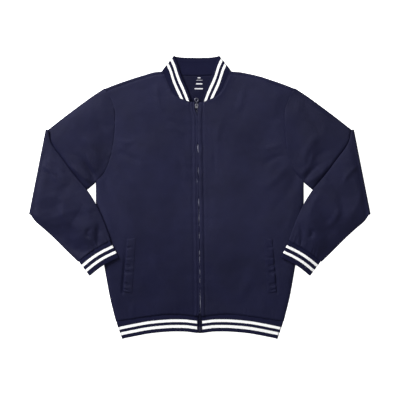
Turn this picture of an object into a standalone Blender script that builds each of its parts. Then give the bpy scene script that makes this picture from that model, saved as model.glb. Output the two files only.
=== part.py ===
"""Bomber jacket laid flat on its back, both sleeves folded in at the elbow.

Metres, +Z up.  The origin is on the table under the middle of the jacket's box, +Y runs
from the hem to the collar, and +X to the wearer's left.  The tables below give one half of
the jacket in millimetres, measured from the line where the jacket is folded in two.
Each piece of cloth is a thin wall: a sheet of points given its thickness by Solidify.
"""
import bmesh
import bpy
from math import cos, pi, sin
from mathutils import Vector
from mathutils.bvhtree import BVHTree
from typing import NamedTuple

MM = 0.001

# Walls and gaps
CLOTH = 1.6 * MM            # shell fabric, with its seam allowances
RIB = 2.4 * MM              # knitted rib of the collar, cuffs and hem
TAPE = 1.0 * MM             # woven tape of the zip
SEAM = 0.3 * MM             # clearance between pieces at a seam
HOLLOW = 3.0 * MM           # space between the two layers of a laid piece

# Heights of the layers over the table
UNDER_MID = CLOTH / 2
RIB_UNDER_MID = RIB / 2
OVER = CLOTH + HOLLOW                   # underside of the front layer
OVER_MID = OVER + CLOTH / 2
RIB_OVER_MID = OVER + RIB / 2
TUBE_TOP = OVER + CLOTH                 # top of the front layer
BEND = (OVER_MID - UNDER_MID) / 2       # bend of a wall where a piece turns over
STACK = TUBE_TOP + SEAM                 # underside of what lies on the front layer

# How the jacket was laid down: the neck leans off the middle line
NECK_LEAN = -9.0 * MM
LEAN_FROM = -374.0 * MM                 # no lean at the hem
LEAN_TO = 255.0 * MM                    # full lean from the top of the zip up
LEAN_INNER = 96.0 * MM                  # full lean inside the neck
LEAN_OUTER = 165.0 * MM                 # none past here

# Rows and columns of the panels' grids
SHOULDER_COLUMNS = 7
NECK_COLUMNS = 4                        # each half of the back neck
ARMHOLE_ROWS = 8
SIDE_ROWS = 5
NECKLINE_ROWS = 6
TURN_STEPS = 4                          # steps of a half turn
FINE_STEPS = 12                         # points between two spots of a curve


class Spot(NamedTuple):
    """A point of the left half's plan, in millimetres."""
    x: float
    y: float


class Chord(NamedTuple):
    """A line across the laid sleeve: from one laid edge to the other, in millimetres."""
    ax: float
    ay: float
    bx: float
    by: float


SIDE = (Spot(230.8, -342.5), Spot(235.1, -327), Spot(247.4, -277.5), Spot(256.7, -228),
        Spot(263.5, -186), Spot(276, -95), Spot(284.9, -24), Spot(285.5, 43))
ARMHOLE = (Spot(285.5, 43), Spot(259, 77.7), Spot(241, 137), Spot(234.6, 199),
           Spot(235, 239), Spot(248.4, 277), Spot(256, 292.8))
SHOULDER = (Spot(262, 299), Spot(229.4, 311.8), Spot(197.6, 322.8), Spot(163, 333.8),
            Spot(122.5, 344), Spot(96, 347.5))
BACK_NECK = (Spot(96, 347.5), Spot(70, 341), Spot(35, 337.5), Spot(0, 336.5))
NECKLINE = (Spot(20, 263.6), Spot(41.5, 270.5), Spot(56.5, 277.5), Spot(71, 293),
            Spot(85.5, 322.8), Spot(96, 347.5))
HEM_SEAM = (Spot(0, -329), Spot(25, -327.3), Spot(41, -325.2), Spot(82.6, -323.4),
            Spot(137.7, -328.7), Spot(205, -339), Spot(230.8, -342.5))
HEM_EDGE = (Spot(0, -374), Spot(25, -370.8), Spot(41, -369.2), Spot(82.6, -369.3),
            Spot(137.7, -374.3), Spot(200, -386), Spot(214.4, -389.4))
COLLAR_EDGE = (Spot(16.5, 270), Spot(24.9, 295.2), Spot(34.4, 317.3), Spot(43.7, 339.3),
               Spot(54, 371), Spot(62.8, 389.4))
COLLAR_BACK_EDGE = (Spot(62.8, 389.4), Spot(40, 386), Spot(0, 384.5))

UPPER_ARM = (Chord(262, 299, 285.5, 43), Chord(299, 276, 314, 20), Chord(343, 245.8, 365, -8),
             Chord(385, 216, 418, -28.5), Chord(424.5, 186.5, 470.5, -47))
FOREARM = (Chord(424.5, 186.5, 470.5, -47), Chord(406, 150, 458, -64.5),
           Chord(368, 101, 437, -82.5), Chord(329, 43, 410.5, -106.3),
           Chord(296, -5, 384.5, -131), Chord(268, -60, 358, -156.5),
           Chord(244.5, -120, 335, -177.5))
UPPER_ARM_RINGS = 6
FOREARM_RINGS = 9
ARM_ACROSS = 8                          # same steps as the armhole's rows
UNDERARM_GAP = 1.5 * MM                 # extra clearance where four seams meet
CUFF_BOW = 4.0 * MM                     # the cuff's seam bows towards the elbow
CUFF_LENGTH = 50.0 * MM
CUFF_INSET = 2.5 * MM                   # the sleeve is gathered onto a narrower cuff
CUFF_NARROWING = 4.5 * MM               # drawn in at each edge by the end of the cuff
CUFF_RINGS = 4

# Where the forearm stops lying on the upper arm or the body and falls to the table
FALL_START = 30.0 * MM
FALL_END = 85.0 * MM

# Zip
ZIP_SLOT = 5.7 * MM                     # from the middle line to a front's edge
TAPE_INNER = 1.8 * MM
TAPE_OUTER = 16.0 * MM
TAPE_MID = OVER - SEAM - TAPE / 2
CHAIN_HALF = 3.0 * MM
CHAIN_HEIGHT = 1.6 * MM
ZIP_TOP = 262.0 * MM
CHAIN_TOP = 245.0 * MM
STOP_TOP = -357.0 * MM
STOP_BOTTOM = -370.0 * MM
ZIP_BOTTOM = -371.5 * MM
ZIP_STEPS = 12

# Slider and its pull tab
SLIDER_Y = 251.3 * MM                   # middle of the slider
SLIDER_HALF = 5.9 * MM                  # half its length
SLIDER_WIDE = 5.2 * MM                  # half its width at the shoulders
SLIDER_NARROW = 3.4 * MM                # half its width at the mouth
PLATE = 1.1 * MM
POST_HALF = 1.2 * MM
LUG_GAP = 2.0 * MM                      # from the middle to the inner face of a lug
LUG_THICK = 0.9 * MM
LUG_LENGTH = 3.6 * MM
PIN_Y = 253.0 * MM
PIN_RADIUS = 0.7 * MM
BARREL_RADIUS = 1.7 * MM
PIN_Z = OVER + PLATE + BARREL_RADIUS + SEAM
BARREL_HALF = 1.6 * MM
TAB_THICK = 1.4 * MM
TAB_STEM_HALF = 1.6 * MM
RING_Y = 267.7 * MM
RING_RADIUS = 6.0 * MM
RING_HOLE = 3.0 * MM
ROUND_SIDES = 24

# Pocket welts, corners on the left front in millimetres
WELT_OPENING = (Spot(199.7, -115.8), Spot(210.7, -259.7))
WELT_INNER = (Spot(176.1, -112.4), Spot(185.9, -265.2))
WELT_ROWS = 6
WELT_COLUMNS = 2

NECK_CORNER = Spot(98.2, 343.9)         # the shoulder stops short of the collar's laid edge


def step(value):
    """Ease from 0 to 1, flat at both ends."""
    value = min(max(value, 0.0), 1.0)
    return value * value * (3 - 2 * value)


def curve(spots, count):
    """Return count + 1 points evenly along a smooth curve through the spots, in metres."""
    points = [Vector((spot.x, spot.y)) * MM for spot in spots]
    ends = [points[0] * 2 - points[1]] + points + [points[-1] * 2 - points[-2]]
    fine = []
    for i in range(1, len(ends) - 2):
        a, b, c, d = ends[i - 1:i + 3]
        for k in range(FINE_STEPS):
            t = k / FINE_STEPS
            fine.append((b * 2 + (c - a) * t + (a * 2 - b * 5 + c * 4 - d) * t * t
                         + (b * 3 - a - c * 3 + d) * t ** 3) / 2)
    fine.append(points[-1])
    return even(fine, count)


def even(points, count):
    """Return count + 1 points at equal distances along a line of points."""
    lengths = [0.0]
    for a, b in zip(points, points[1:]):
        lengths.append(lengths[-1] + (b - a).length)
    out = []
    i = 0
    for k in range(count + 1):
        want = lengths[-1] * k / count
        while i < len(points) - 2 and lengths[i + 1] < want:
            i += 1
        share = (want - lengths[i]) / (lengths[i + 1] - lengths[i])
        out.append(points[i].lerp(points[i + 1], share))
    return out


def lay(side, point):
    """Place a point of the half plan on the wearer's left (1) or right (-1) side."""
    rise = min(max((point.y - LEAN_FROM) / (LEAN_TO - LEAN_FROM), 0.0), 1.0)
    fade = 1 - step((point.x - LEAN_INNER) / (LEAN_OUTER - LEAN_INNER))
    return Vector((side * point.x + NECK_LEAN * rise * fade, point.y))


def raised(point, z):
    """Give a plan point its height."""
    return Vector((point.x, point.y, z))


def crosswise(a, b):
    """Unit vector in the plan, at right angles to the line from a to b."""
    line = (b - a).normalized()
    return Vector((-line.y, line.x))


def make_material(name, colour, roughness, metallic=0.0):
    """Make a Principled material."""
    material = bpy.data.materials.new(name)
    material.use_nodes = True
    shader = material.node_tree.nodes["Principled BSDF"]
    shader.inputs["Base Color"].default_value = (*colour, 1)
    shader.inputs["Roughness"].default_value = roughness
    shader.inputs["Metallic"].default_value = metallic
    return material


def make_object(name, mesh, material):
    """Link a mesh as a named object."""
    mesh.materials.append(material)
    obj = bpy.data.objects.new(name, mesh)
    bpy.context.scene.collection.objects.link(obj)
    return obj


def give_wall(obj, thickness):
    """Give a sheet its wall, half to each side."""
    solid = obj.modifiers.new("Wall", "SOLIDIFY")
    solid.thickness = thickness
    solid.offset = 0
    solid.use_even_offset = True
    solid.use_quality_normals = True


def make_sheet(name, rows, thickness, material, closed=False):
    """Make a wall of the given thickness on a grid of points, a ring on each row if closed."""
    bm = bmesh.new()
    grid = [[bm.verts.new(point) for point in row] for row in rows]
    columns = len(rows[0])
    last = columns if closed else columns - 1
    for low, high in zip(grid, grid[1:]):
        for i in range(last):
            j = (i + 1) % columns
            bm.faces.new((low[i], low[j], high[j], high[i]))
    mesh = bpy.data.meshes.new(name)
    bm.to_mesh(mesh)
    bm.free()
    mesh.shade_smooth()
    obj = make_object(name, mesh, material)
    give_wall(obj, thickness)
    return obj


def patch(bottom, top, left, right):
    """Fill four edges with a grid of plan points, each row running from left to right."""
    rows = []
    m = len(bottom) - 1
    n = len(left) - 1
    for i in range(n + 1):
        v = i / n
        row = []
        for j in range(m + 1):
            u = j / m
            edges = bottom[j] * (1 - v) + top[j] * v + left[i] * (1 - u) + right[i] * u
            corners = (bottom[0] * (1 - u) * (1 - v) + bottom[m] * u * (1 - v)
                       + top[0] * (1 - u) * v + top[m] * u * v)
            row.append(edges - corners)
        rows.append(row)
    return rows


def hem_line(spots, start, count):
    """Points of a hem line from the given distance off the middle to the side."""
    points = curve(spots, FINE_STEPS * len(spots))
    points = [point for point in points if point.x > start + SEAM]
    first = Vector((start, points[0].y))
    return even([first] + points, count)


def side_and_armhole():
    """The outer edge of a body panel, from the hem up to the shoulder seam."""
    return curve(SIDE, SIDE_ROWS)[:-1] + curve(ARMHOLE, ARMHOLE_ROWS)


def shoulder_seam():
    """The shoulder seam on the front, set in from the laid edge of the shoulder."""
    edge = curve(SHOULDER, SHOULDER_COLUMNS)
    start = Vector((ARMHOLE[-1].x, ARMHOLE[-1].y)) * MM
    drop = (edge[0] - start).length
    seam = [start]
    for before, point, after in zip(edge, edge[1:], edge[2:] + [edge[-1]]):
        seam.append(point + crosswise(before, after) * drop)
    seam[-1].x = NECK_CORNER.x * MM
    return edge, seam


def turn_axis(edge, seam):
    """The line along which the back leaves the table to turn over a shoulder."""
    drop = BEND + CLOTH / 2
    axis = [point + (low - point).normalized() * drop for point, low in zip(edge, seam)]
    axis[-1] = Vector((NECK_CORNER.x, NECK_CORNER.y)) * MM
    return axis


def back_rows(axis):
    """Plan points of the back on the table, hem first, each row from right to left."""
    neck_half = curve(BACK_NECK, NECK_COLUMNS)
    hem_half = hem_line(HEM_SEAM, 0, SHOULDER_COLUMNS + NECK_COLUMNS)
    low_middle = Vector((0, hem_half[0].y))
    high_middle = Vector((0, neck_half[-1].y))
    halves = {}
    for side in (-1, 1):
        top = [lay(side, point) for point in axis + neck_half[1:]]
        bottom = [lay(side, point) for point in reversed(hem_half)]
        outer = [lay(side, point) for point in side_and_armhole()]
        outer[-1] = top[0]
        last = len(outer) - 1
        middle = [lay(side, low_middle.lerp(high_middle, i / last)) for i in range(last + 1)]
        halves[side] = patch(bottom, top, outer, middle)
    return [right + list(reversed(left[:-1])) for right, left in zip(halves[-1], halves[1])]


def turn_shoulder(bm, start, lows):
    """Turn a shoulder over, from its row of vertices on the table to its seam on the front."""
    before = start
    for k in range(1, TURN_STEPS + 2):
        line = []
        for vert, low in zip(start, lows):
            pivot = Vector(vert.co.xy)
            out = (pivot - low).normalized()
            angle = pi * k / TURN_STEPS
            place = pivot + out * BEND * sin(angle)
            z = UNDER_MID + BEND * (1 - cos(angle))
            if k > TURN_STEPS:
                place = low + out * SEAM
                z = OVER_MID
            line.append(bm.verts.new(raised(place, z)))
        for i in range(len(line) - 1):
            bm.faces.new((before[i], before[i + 1], line[i + 1], line[i]))
        before = line


def build_back(material):
    """The back panel, turned over the shoulders to the seams on the front."""
    edge, seam = shoulder_seam()
    rows = back_rows(turn_axis(edge, seam))
    bm = bmesh.new()
    grid = [[bm.verts.new(raised(point, UNDER_MID)) for point in row] for row in rows]
    for low, high in zip(grid, grid[1:]):
        for i in range(len(low) - 1):
            bm.faces.new((low[i], low[i + 1], high[i + 1], high[i]))
    for side, tops in ((-1, grid[-1]), (1, list(reversed(grid[-1])))):
        lows = [lay(side, point) for point in seam]
        turn_shoulder(bm, tops[:SHOULDER_COLUMNS + 1], lows)
    bmesh.ops.recalc_face_normals(bm, faces=bm.faces)
    mesh = bpy.data.meshes.new("back_panel")
    bm.to_mesh(mesh)
    bm.free()
    obj = make_object("back_panel", mesh, material)
    give_wall(obj, CLOTH)
    return obj


def front_rows(side):
    """Points of a front panel, from its outer edge to the zip, hem first."""
    outer = side_and_armhole()
    seam = shoulder_seam()[1]
    hem = list(reversed(hem_line(HEM_SEAM, ZIP_SLOT, SHOULDER_COLUMNS)))
    neck = curve(NECKLINE, NECKLINE_ROWS)
    neck[-1] = seam[-1]
    zip_rows = SIDE_ROWS + ARMHOLE_ROWS - NECKLINE_ROWS
    corner = Vector((ZIP_SLOT, ZIP_TOP))
    inner = [hem[-1].lerp(corner, i / (zip_rows - 1)) for i in range(zip_rows)] + neck
    rows = patch(hem, seam, outer, inner)
    out = []
    for i, row in enumerate(rows):
        line = []
        for j, point in enumerate(row):
            z = OVER_MID
            if j == 0 and i <= SIDE_ROWS:
                z = CLOTH + SEAM + CLOTH / 2
            line.append(raised(lay(side, point), z))
        out.append(line)
    return out


def build_front(side, name, material):
    """One front panel."""
    return make_sheet(name, front_rows(side), CLOTH, material)


def make_band(name, stations, thickness, material):
    """Make a band of rib from pairs of points: its seam and its free edge."""
    rows = []
    for share in (0.0, 0.5, 1.0):
        rows.append([low.lerp(high, share) for low, high in stations])
    return make_sheet(name, rows, thickness, material)


def turned(side, low, high, angle):
    """A band's two points on its turn at a laid side edge, from the top (0) to the table."""
    shift = Vector((side * (BEND * (sin(angle) - 1) - RIB / 2), 0))
    z = RIB_UNDER_MID + BEND * (1 + cos(angle))
    return raised(low + shift, z), raised(high + shift, z)


def band_half(side, front, back):
    """Stations of half a band: the front from the middle out, the turn, the back in."""
    stations = [(raised(lay(side, a), RIB_OVER_MID), raised(lay(side, b), RIB_OVER_MID))
                for a, b in front[:-1]]
    low, high = (lay(side, point) for point in front[-1])
    for k in range(TURN_STEPS + 1):
        stations.append(turned(side, low, high, pi * k / TURN_STEPS))
    for a, b in back[1:]:
        pair = (raised(lay(side, a), RIB_UNDER_MID), raised(lay(side, b), RIB_UNDER_MID))
        stations.append(pair)
    return stations


def join_halves(right, left):
    """One run of stations from the left front round the back to the right front."""
    return left[:-1] + list(reversed(right))


def build_collar(material):
    """The rib collar, tapering to the zip, its back lying on the table."""
    low_front = curve(NECKLINE, NECKLINE_ROWS)
    high_front = curve(COLLAR_EDGE, NECKLINE_ROWS)
    low_back = curve(BACK_NECK, NECK_COLUMNS)
    high_back = curve(COLLAR_BACK_EDGE, NECK_COLUMNS)
    front = [(a + (b - a).normalized() * SEAM, b) for a, b in zip(low_front, high_front)]
    back = [(a + (b - a).normalized() * SEAM, b) for a, b in zip(low_back, high_back)]
    halves = [band_half(side, front, back) for side in (1, -1)]
    return make_band("collar", join_halves(*halves), RIB, material)


def build_hem(material):
    """The rib band of the hem, open at the zip."""
    front_low = hem_line(HEM_SEAM, ZIP_SLOT, SHOULDER_COLUMNS)
    front_high = hem_line(HEM_EDGE, ZIP_SLOT, SHOULDER_COLUMNS)
    columns = SHOULDER_COLUMNS + NECK_COLUMNS
    back_low = list(reversed(hem_line(HEM_SEAM, 0, columns)))
    back_high = list(reversed(hem_line(HEM_EDGE, 0, columns)))
    drop = Vector((0, -SEAM))
    front = [(a + drop, b) for a, b in zip(front_low, front_high)]
    back = [(a + drop, b) for a, b in zip(back_low, back_high)]
    halves = [band_half(side, front, back) for side in (1, -1)]
    return make_band("hem_rib", join_halves(*halves), RIB, material)


def chord_ends(chords, count):
    """The two laid edges of a stretch of sleeve, as count + 1 pairs."""
    first = curve([Spot(chord.ax, chord.ay) for chord in chords], count)
    second = curve([Spot(chord.bx, chord.by) for chord in chords], count)
    return list(zip(first, second))


def ring_places(length):
    """Distances along a chord for the points between the two bent edges."""
    return [min(max(length * i / ARM_ACROSS, BEND), length - BEND)
            for i in range(ARM_ACROSS + 1)]


def ring_points(a, b, base, up, bow, thick):
    """Points round a flattened tube between the plan points a and b.

    base and up give the height of a point's lower skin and the way to its upper skin, and
    bow is how far the ring's points stand off the chord.
    """
    line = (b - a).normalized()
    length = (b - a).length
    places = ring_places(length)
    half = thick / 2
    top = []
    bottom = []
    for i, place in enumerate(places):
        spot = a + line * place + bow[i]
        foot, rise = base(spot), up(spot)
        top.append(foot + rise * (half + 2 * BEND))
        bottom.append(foot + rise * half)
    ends = []
    for point, way, slack in ((b, line, bow[-1]), (a, -line, bow[0])):
        caps = []
        for angle in (-pi / 4, 0, pi / 4):
            spot = point + slack - way * BEND * (1 - cos(angle))
            foot, rise = base(spot), up(spot)
            caps.append(foot + rise * (half + BEND * (1 - sin(angle))))
        ends.append(caps)
    return top + ends[0] + list(reversed(bottom)) + list(reversed(ends[1]))


def rest_height(spot):
    """Underside of what lies over the upper arm and the body, falling to the table."""
    place = Vector((abs(spot.x), spot.y))
    elbow, arm = (Vector((chord.bx, chord.by)) * MM for chord in (UPPER_ARM[-1], UPPER_ARM[1]))
    waist, chest = (Vector((spot.x, spot.y)) * MM for spot in (SIDE[4], SIDE[6]))
    off_arm = (place - elbow).dot(crosswise(elbow, arm))
    off_body = (waist - place).dot(crosswise(waist, chest))
    away = min(off_arm, off_body)
    return STACK * (1 - step((away - FALL_START) / (FALL_END - FALL_START)))


def build_sleeve(side, name, material):
    """One sleeve: a laid tube folded over at the elbow, its forearm on top."""
    rows = []
    arm = chord_ends(UPPER_ARM, UPPER_ARM_RINGS)
    hole = [Vector((UPPER_ARM[0].ax, UPPER_ARM[0].ay)) * MM]
    hole += list(reversed(curve(ARMHOLE, ARMHOLE_ROWS)))[1:]
    start, end = arm[0]
    bulge = []
    length = (end - start).length
    for i, place in enumerate(ring_places(length)):
        bulge.append(hole[i] - (start + (end - start).normalized() * place))
    bulge[0] = hole[0] - start
    bulge[-1] = hole[-1] - end
    gaps = [SEAM + UNDERARM_GAP * (i / ARM_ACROSS) ** 4 for i in range(ARM_ACROSS + 1)]
    fold_a, fold_b = arm[-1]
    out = crosswise(fold_a, fold_b)
    radius = STACK - SEAM / 2
    for i, (a, b) in enumerate(arm):
        share = i / UPPER_ARM_RINGS
        a, b = a - out * radius * share, b - out * radius * share
        bow = [offset * (1 - step(share)) + out * gap * (1 - share)
               for offset, gap in zip(bulge, gaps)]
        bow = [lay_offset(side, offset) for offset in bow]
        rows.append(ring_points(lay(side, a), lay(side, b), lambda spot: raised(spot, 0),
                                lambda spot: Vector((0, 0, 1)), bow, CLOTH))
    flat = [Vector((0, 0))] * (ARM_ACROSS + 1)
    outward = lay_offset(side, out)
    axis_a, axis_b = (lay(side, point - out * radius) for point in (fold_a, fold_b))
    for k in range(1, TURN_STEPS * 2):
        angle = pi * k / (TURN_STEPS * 2)
        way = raised(outward * sin(angle), -cos(angle))
        rows.append(ring_points(axis_a, axis_b,
                                lambda spot: raised(spot, radius) + way * radius,
                                lambda spot: -way, flat, CLOTH))
    forearm = chord_ends(FOREARM, FOREARM_RINGS)
    for i, (a, b) in enumerate(forearm):
        share = 1 - i / FOREARM_RINGS
        a, b = a - out * radius * share, b - out * radius * share
        across = crosswise(a, b)
        bow = [lay_offset(side, across * CUFF_BOW * (1 - share) * sin(pi * j / ARM_ACROSS))
               for j in range(ARM_ACROSS + 1)]
        rows.append(ring_points(lay(side, a), lay(side, b),
                                lambda spot: raised(spot, rest_height(spot) + TUBE_TOP),
                                lambda spot: Vector((0, 0, -1)), bow, CLOTH))
    return make_sheet(name, rows, CLOTH, material, closed=True)


def lay_offset(side, offset):
    """Mirror a plan offset to its side."""
    return Vector((side * offset.x, offset.y))


def build_cuff(side, name, material):
    """One rib cuff on the end of a sleeve."""
    a, b = chord_ends(FOREARM, FOREARM_RINGS)[-1]
    line = (b - a).normalized()
    down = -crosswise(a, b)
    rows = []
    for i in range(CUFF_RINGS + 1):
        share = i / CUFF_RINGS
        inset = CUFF_INSET + CUFF_NARROWING * share
        shift = down * (SEAM + CUFF_LENGTH * share)
        low, high = a + line * inset + shift, b - line * inset + shift
        bow = [lay_offset(side, -down * CUFF_BOW * sin(pi * j / ARM_ACROSS))
               for j in range(ARM_ACROSS + 1)]
        rows.append(ring_points(lay(side, low), lay(side, high),
                                lambda spot: raised(spot, rest_height(spot)),
                                lambda spot: Vector((0, 0, 1)), bow, RIB))
    return make_sheet(name, rows, RIB, material, closed=True)


def build_welt(side, name, material):
    """A pocket welt made from points of the front under it, moved out."""
    points, faces = [], []
    for row in front_rows(side):
        points += row
    columns = SHOULDER_COLUMNS + 1
    for i in range(len(points) // columns - 1):
        for j in range(columns - 1):
            k = i * columns + j
            faces.append((k, k + 1, k + columns + 1, k + columns))
    tree = BVHTree.FromPolygons(points, faces)
    rows = []
    for i in range(WELT_ROWS + 1):
        row = []
        for j in range(WELT_COLUMNS + 1):
            ends = [Vector((a.x, a.y)).lerp(Vector((b.x, b.y)), i / WELT_ROWS) * MM
                    for a, b in (WELT_OPENING, WELT_INNER)]
            spot = lay(side, ends[0].lerp(ends[1], j / WELT_COLUMNS))
            hit = tree.ray_cast(raised(spot, 1), Vector((0, 0, -1)))[0]
            row.append(raised(spot, hit.z + CLOTH + SEAM))
        rows.append(row)
    return make_sheet(name, rows, CLOTH, material)


def zip_point(x, y, z):
    """A point of the zip, which leans with the neck."""
    middle = lay(1, Vector((0, y)))
    return Vector((middle.x + x, y, z))


def build_tape(side, name, material):
    """One zip tape, under the edge of a front."""
    rows = []
    for i in range(ZIP_STEPS + 1):
        y = ZIP_BOTTOM + (ZIP_TOP - ZIP_BOTTOM) * i / ZIP_STEPS
        rows.append([zip_point(side * x, y, TAPE_MID) for x in (TAPE_INNER, TAPE_OUTER)])
    return make_sheet(name, rows, TAPE, material)


def make_bar(name, outline, low, high, material):
    """Extrude a plan outline of the zip from one height to another."""
    bm = bmesh.new()
    face = bm.faces.new([bm.verts.new(zip_point(x, y, low)) for x, y in outline])
    up = bmesh.ops.extrude_face_region(bm, geom=[face])["geom"]
    verts = [item for item in up if isinstance(item, bmesh.types.BMVert)]
    bmesh.ops.translate(bm, verts=verts, vec=(0, 0, high - low))
    bmesh.ops.recalc_face_normals(bm, faces=bm.faces)
    mesh = bpy.data.meshes.new(name)
    bm.to_mesh(mesh)
    bm.free()
    return make_object(name, mesh, material)


def make_box(name, x_half, y_low, y_high, low, high, material, x_middle=0.0):
    """A box on the zip's line."""
    x_low, x_high = x_middle - x_half, x_middle + x_half
    outline = ((x_low, y_low), (x_high, y_low), (x_high, y_high), (x_low, y_high))
    return make_bar(name, outline, low, high, material)


def make_rod(name, radius, x_half, y, z, material):
    """A round rod along X."""
    middle = zip_point(0, PIN_Y, z)
    bpy.ops.mesh.primitive_cylinder_add(
        vertices=ROUND_SIDES, radius=radius, depth=2 * x_half,
        location=(middle.x, y, z), rotation=(0, pi / 2, 0))
    rod = bpy.context.object
    rod.name = name
    rod.data.materials.append(material)
    return rod


def make_disc(name, radius, y, low, high, material):
    """A round disc lying flat."""
    middle = zip_point(0, PIN_Y, 0)
    bpy.ops.mesh.primitive_cylinder_add(
        vertices=ROUND_SIDES, radius=radius, depth=high - low,
        location=(middle.x, y, (low + high) / 2))
    disc = bpy.context.object
    disc.name = name
    disc.data.materials.append(material)
    return disc


def combine(obj, tool, operation):
    """Add a tool to an object, or cut it, and keep the tool as a hidden guide."""
    modifier = obj.modifiers.new(tool.name, "BOOLEAN")
    modifier.operation = operation
    modifier.object = tool
    modifier.solver = "EXACT"
    tool.hide_render = True
    tool.display_type = "WIRE"


def build_zip(tape_material, metal):
    """The tapes, the closed chain and its bottom stop."""
    build_tape(1, "zip_tape_left", tape_material)
    build_tape(-1, "zip_tape_right", tape_material)
    outline = [(-CHAIN_HALF, STOP_TOP + SEAM), (CHAIN_HALF, STOP_TOP + SEAM)]
    outline += [(CHAIN_HALF, CHAIN_TOP), (-CHAIN_HALF, CHAIN_TOP)]
    make_bar("zip_chain", outline, OVER, OVER + CHAIN_HEIGHT, tape_material)
    make_box("zip_stop", CHAIN_HALF + SEAM, STOP_BOTTOM, STOP_TOP, OVER,
             OVER + CHAIN_HEIGHT + SEAM, metal)


def build_slider(metal):
    """The slider: two plates joined by a post, and two lugs that carry the pull tab's pin."""
    low_y, high_y = SLIDER_Y - SLIDER_HALF, SLIDER_Y + SLIDER_HALF
    waist = SLIDER_Y + SLIDER_HALF / 3
    outline = ((-SLIDER_NARROW, low_y + SEAM), (SLIDER_NARROW, low_y + SEAM),
               (SLIDER_WIDE, waist), (SLIDER_WIDE, high_y - SEAM), (SLIDER_NARROW, high_y),
               (-SLIDER_NARROW, high_y), (-SLIDER_WIDE, high_y - SEAM), (-SLIDER_WIDE, waist))
    slider = make_bar("zip_slider", outline, OVER, OVER + PLATE, metal)
    plate_low = CLOTH + SEAM
    under = make_bar("slider_under", outline, plate_low, plate_low + PLATE, metal)
    post = make_box("slider_post", POST_HALF, waist, high_y - SEAM,
                    plate_low + PLATE / 2, OVER + PLATE / 2, metal)
    combine(slider, post, "UNION")
    combine(slider, under, "UNION")
    for side in (-1, 1):
        x = side * (LUG_GAP + LUG_THICK / 2)
        lug = make_box(f"slider_lug_{side}", LUG_THICK / 2, PIN_Y - LUG_LENGTH / 2,
                       PIN_Y + LUG_LENGTH / 2, OVER + PLATE / 2, PIN_Z + LUG_THICK,
                       metal, x_middle=x)
        combine(slider, lug, "UNION")
    pin = make_rod("slider_pin", PIN_RADIUS, LUG_GAP + LUG_THICK / 2, PIN_Y, PIN_Z, metal)
    combine(slider, pin, "UNION")


def build_tab(metal):
    """The pull tab: a barrel on the slider's pin, a stem and a ring, lying to the collar."""
    tab = make_rod("zip_pull_tab", BARREL_RADIUS, BARREL_HALF, PIN_Y, PIN_Z, metal)
    low, high = PIN_Z - TAB_THICK / 2, PIN_Z + TAB_THICK / 2
    stem = make_box("tab_stem", TAB_STEM_HALF - SEAM, PIN_Y, RING_Y - RING_HOLE - SEAM, low, high,
                    metal)
    ring = make_disc("tab_ring", RING_RADIUS, RING_Y, low, high, metal)
    hole = make_disc("tab_hole", RING_HOLE, RING_Y, low - SEAM, high + SEAM, metal)
    bore = make_rod("tab_bore", PIN_RADIUS + SEAM, BARREL_HALF + SEAM, PIN_Y, PIN_Z, metal)
    combine(tab, stem, "UNION")
    combine(tab, ring, "UNION")
    combine(tab, hole, "DIFFERENCE")
    combine(tab, bore, "DIFFERENCE")


def main():
    """Build every piece."""
    for obj in list(bpy.data.objects):
        bpy.data.objects.remove(obj)
    shell = make_material("Shell", (0.022, 0.024, 0.055), 0.75)
    rib = make_material("Rib", (0.02, 0.022, 0.05), 0.9)
    tape = make_material("Tape", (0.02, 0.022, 0.05), 0.8)
    metal = make_material("Metal", (0.62, 0.62, 0.64), 0.3, metallic=1.0)
    build_back(shell)
    for side, word in ((1, "left"), (-1, "right")):
        build_front(side, f"front_{word}", shell)
        build_sleeve(side, f"sleeve_{word}", shell)
        build_cuff(side, f"cuff_{word}", rib)
        build_welt(side, f"pocket_welt_{word}", shell)
    build_collar(rib)
    build_hem(rib)
    build_zip(tape, metal)
    build_slider(metal)
    build_tab(metal)


main()
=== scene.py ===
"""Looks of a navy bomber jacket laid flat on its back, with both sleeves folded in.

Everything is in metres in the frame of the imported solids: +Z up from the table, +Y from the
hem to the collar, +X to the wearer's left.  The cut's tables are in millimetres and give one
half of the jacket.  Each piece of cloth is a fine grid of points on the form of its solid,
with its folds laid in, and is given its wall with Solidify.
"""

from __future__ import annotations

import logging
from dataclasses import dataclass
from enum import Enum
from math import pi
from typing import Callable, NamedTuple, Sequence

import bpy
import numpy as np
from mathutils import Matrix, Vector

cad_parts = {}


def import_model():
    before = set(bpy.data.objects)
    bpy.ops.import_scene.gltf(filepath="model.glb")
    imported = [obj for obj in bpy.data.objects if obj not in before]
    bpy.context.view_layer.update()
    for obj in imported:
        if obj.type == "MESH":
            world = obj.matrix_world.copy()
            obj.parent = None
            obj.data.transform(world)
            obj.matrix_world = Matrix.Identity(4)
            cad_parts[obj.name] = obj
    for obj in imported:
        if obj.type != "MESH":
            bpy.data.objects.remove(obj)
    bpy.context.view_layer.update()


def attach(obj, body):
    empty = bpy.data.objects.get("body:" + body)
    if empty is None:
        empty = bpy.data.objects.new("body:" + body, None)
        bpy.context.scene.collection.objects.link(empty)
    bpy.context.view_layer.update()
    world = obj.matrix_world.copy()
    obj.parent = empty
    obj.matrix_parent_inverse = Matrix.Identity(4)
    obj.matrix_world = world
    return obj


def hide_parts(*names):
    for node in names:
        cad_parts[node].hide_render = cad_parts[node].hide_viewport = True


Array = np.ndarray
Piece = bpy.types.Object
Socket = bpy.types.NodeSocket
Pair = tuple[float, float]
Place = tuple[float, float, float]
Colour = Place

LOG = logging.getLogger("bomber_jacket")
MM = 0.001
BODY = "jacket"
TAB_BODY = "pull_tab"

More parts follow.
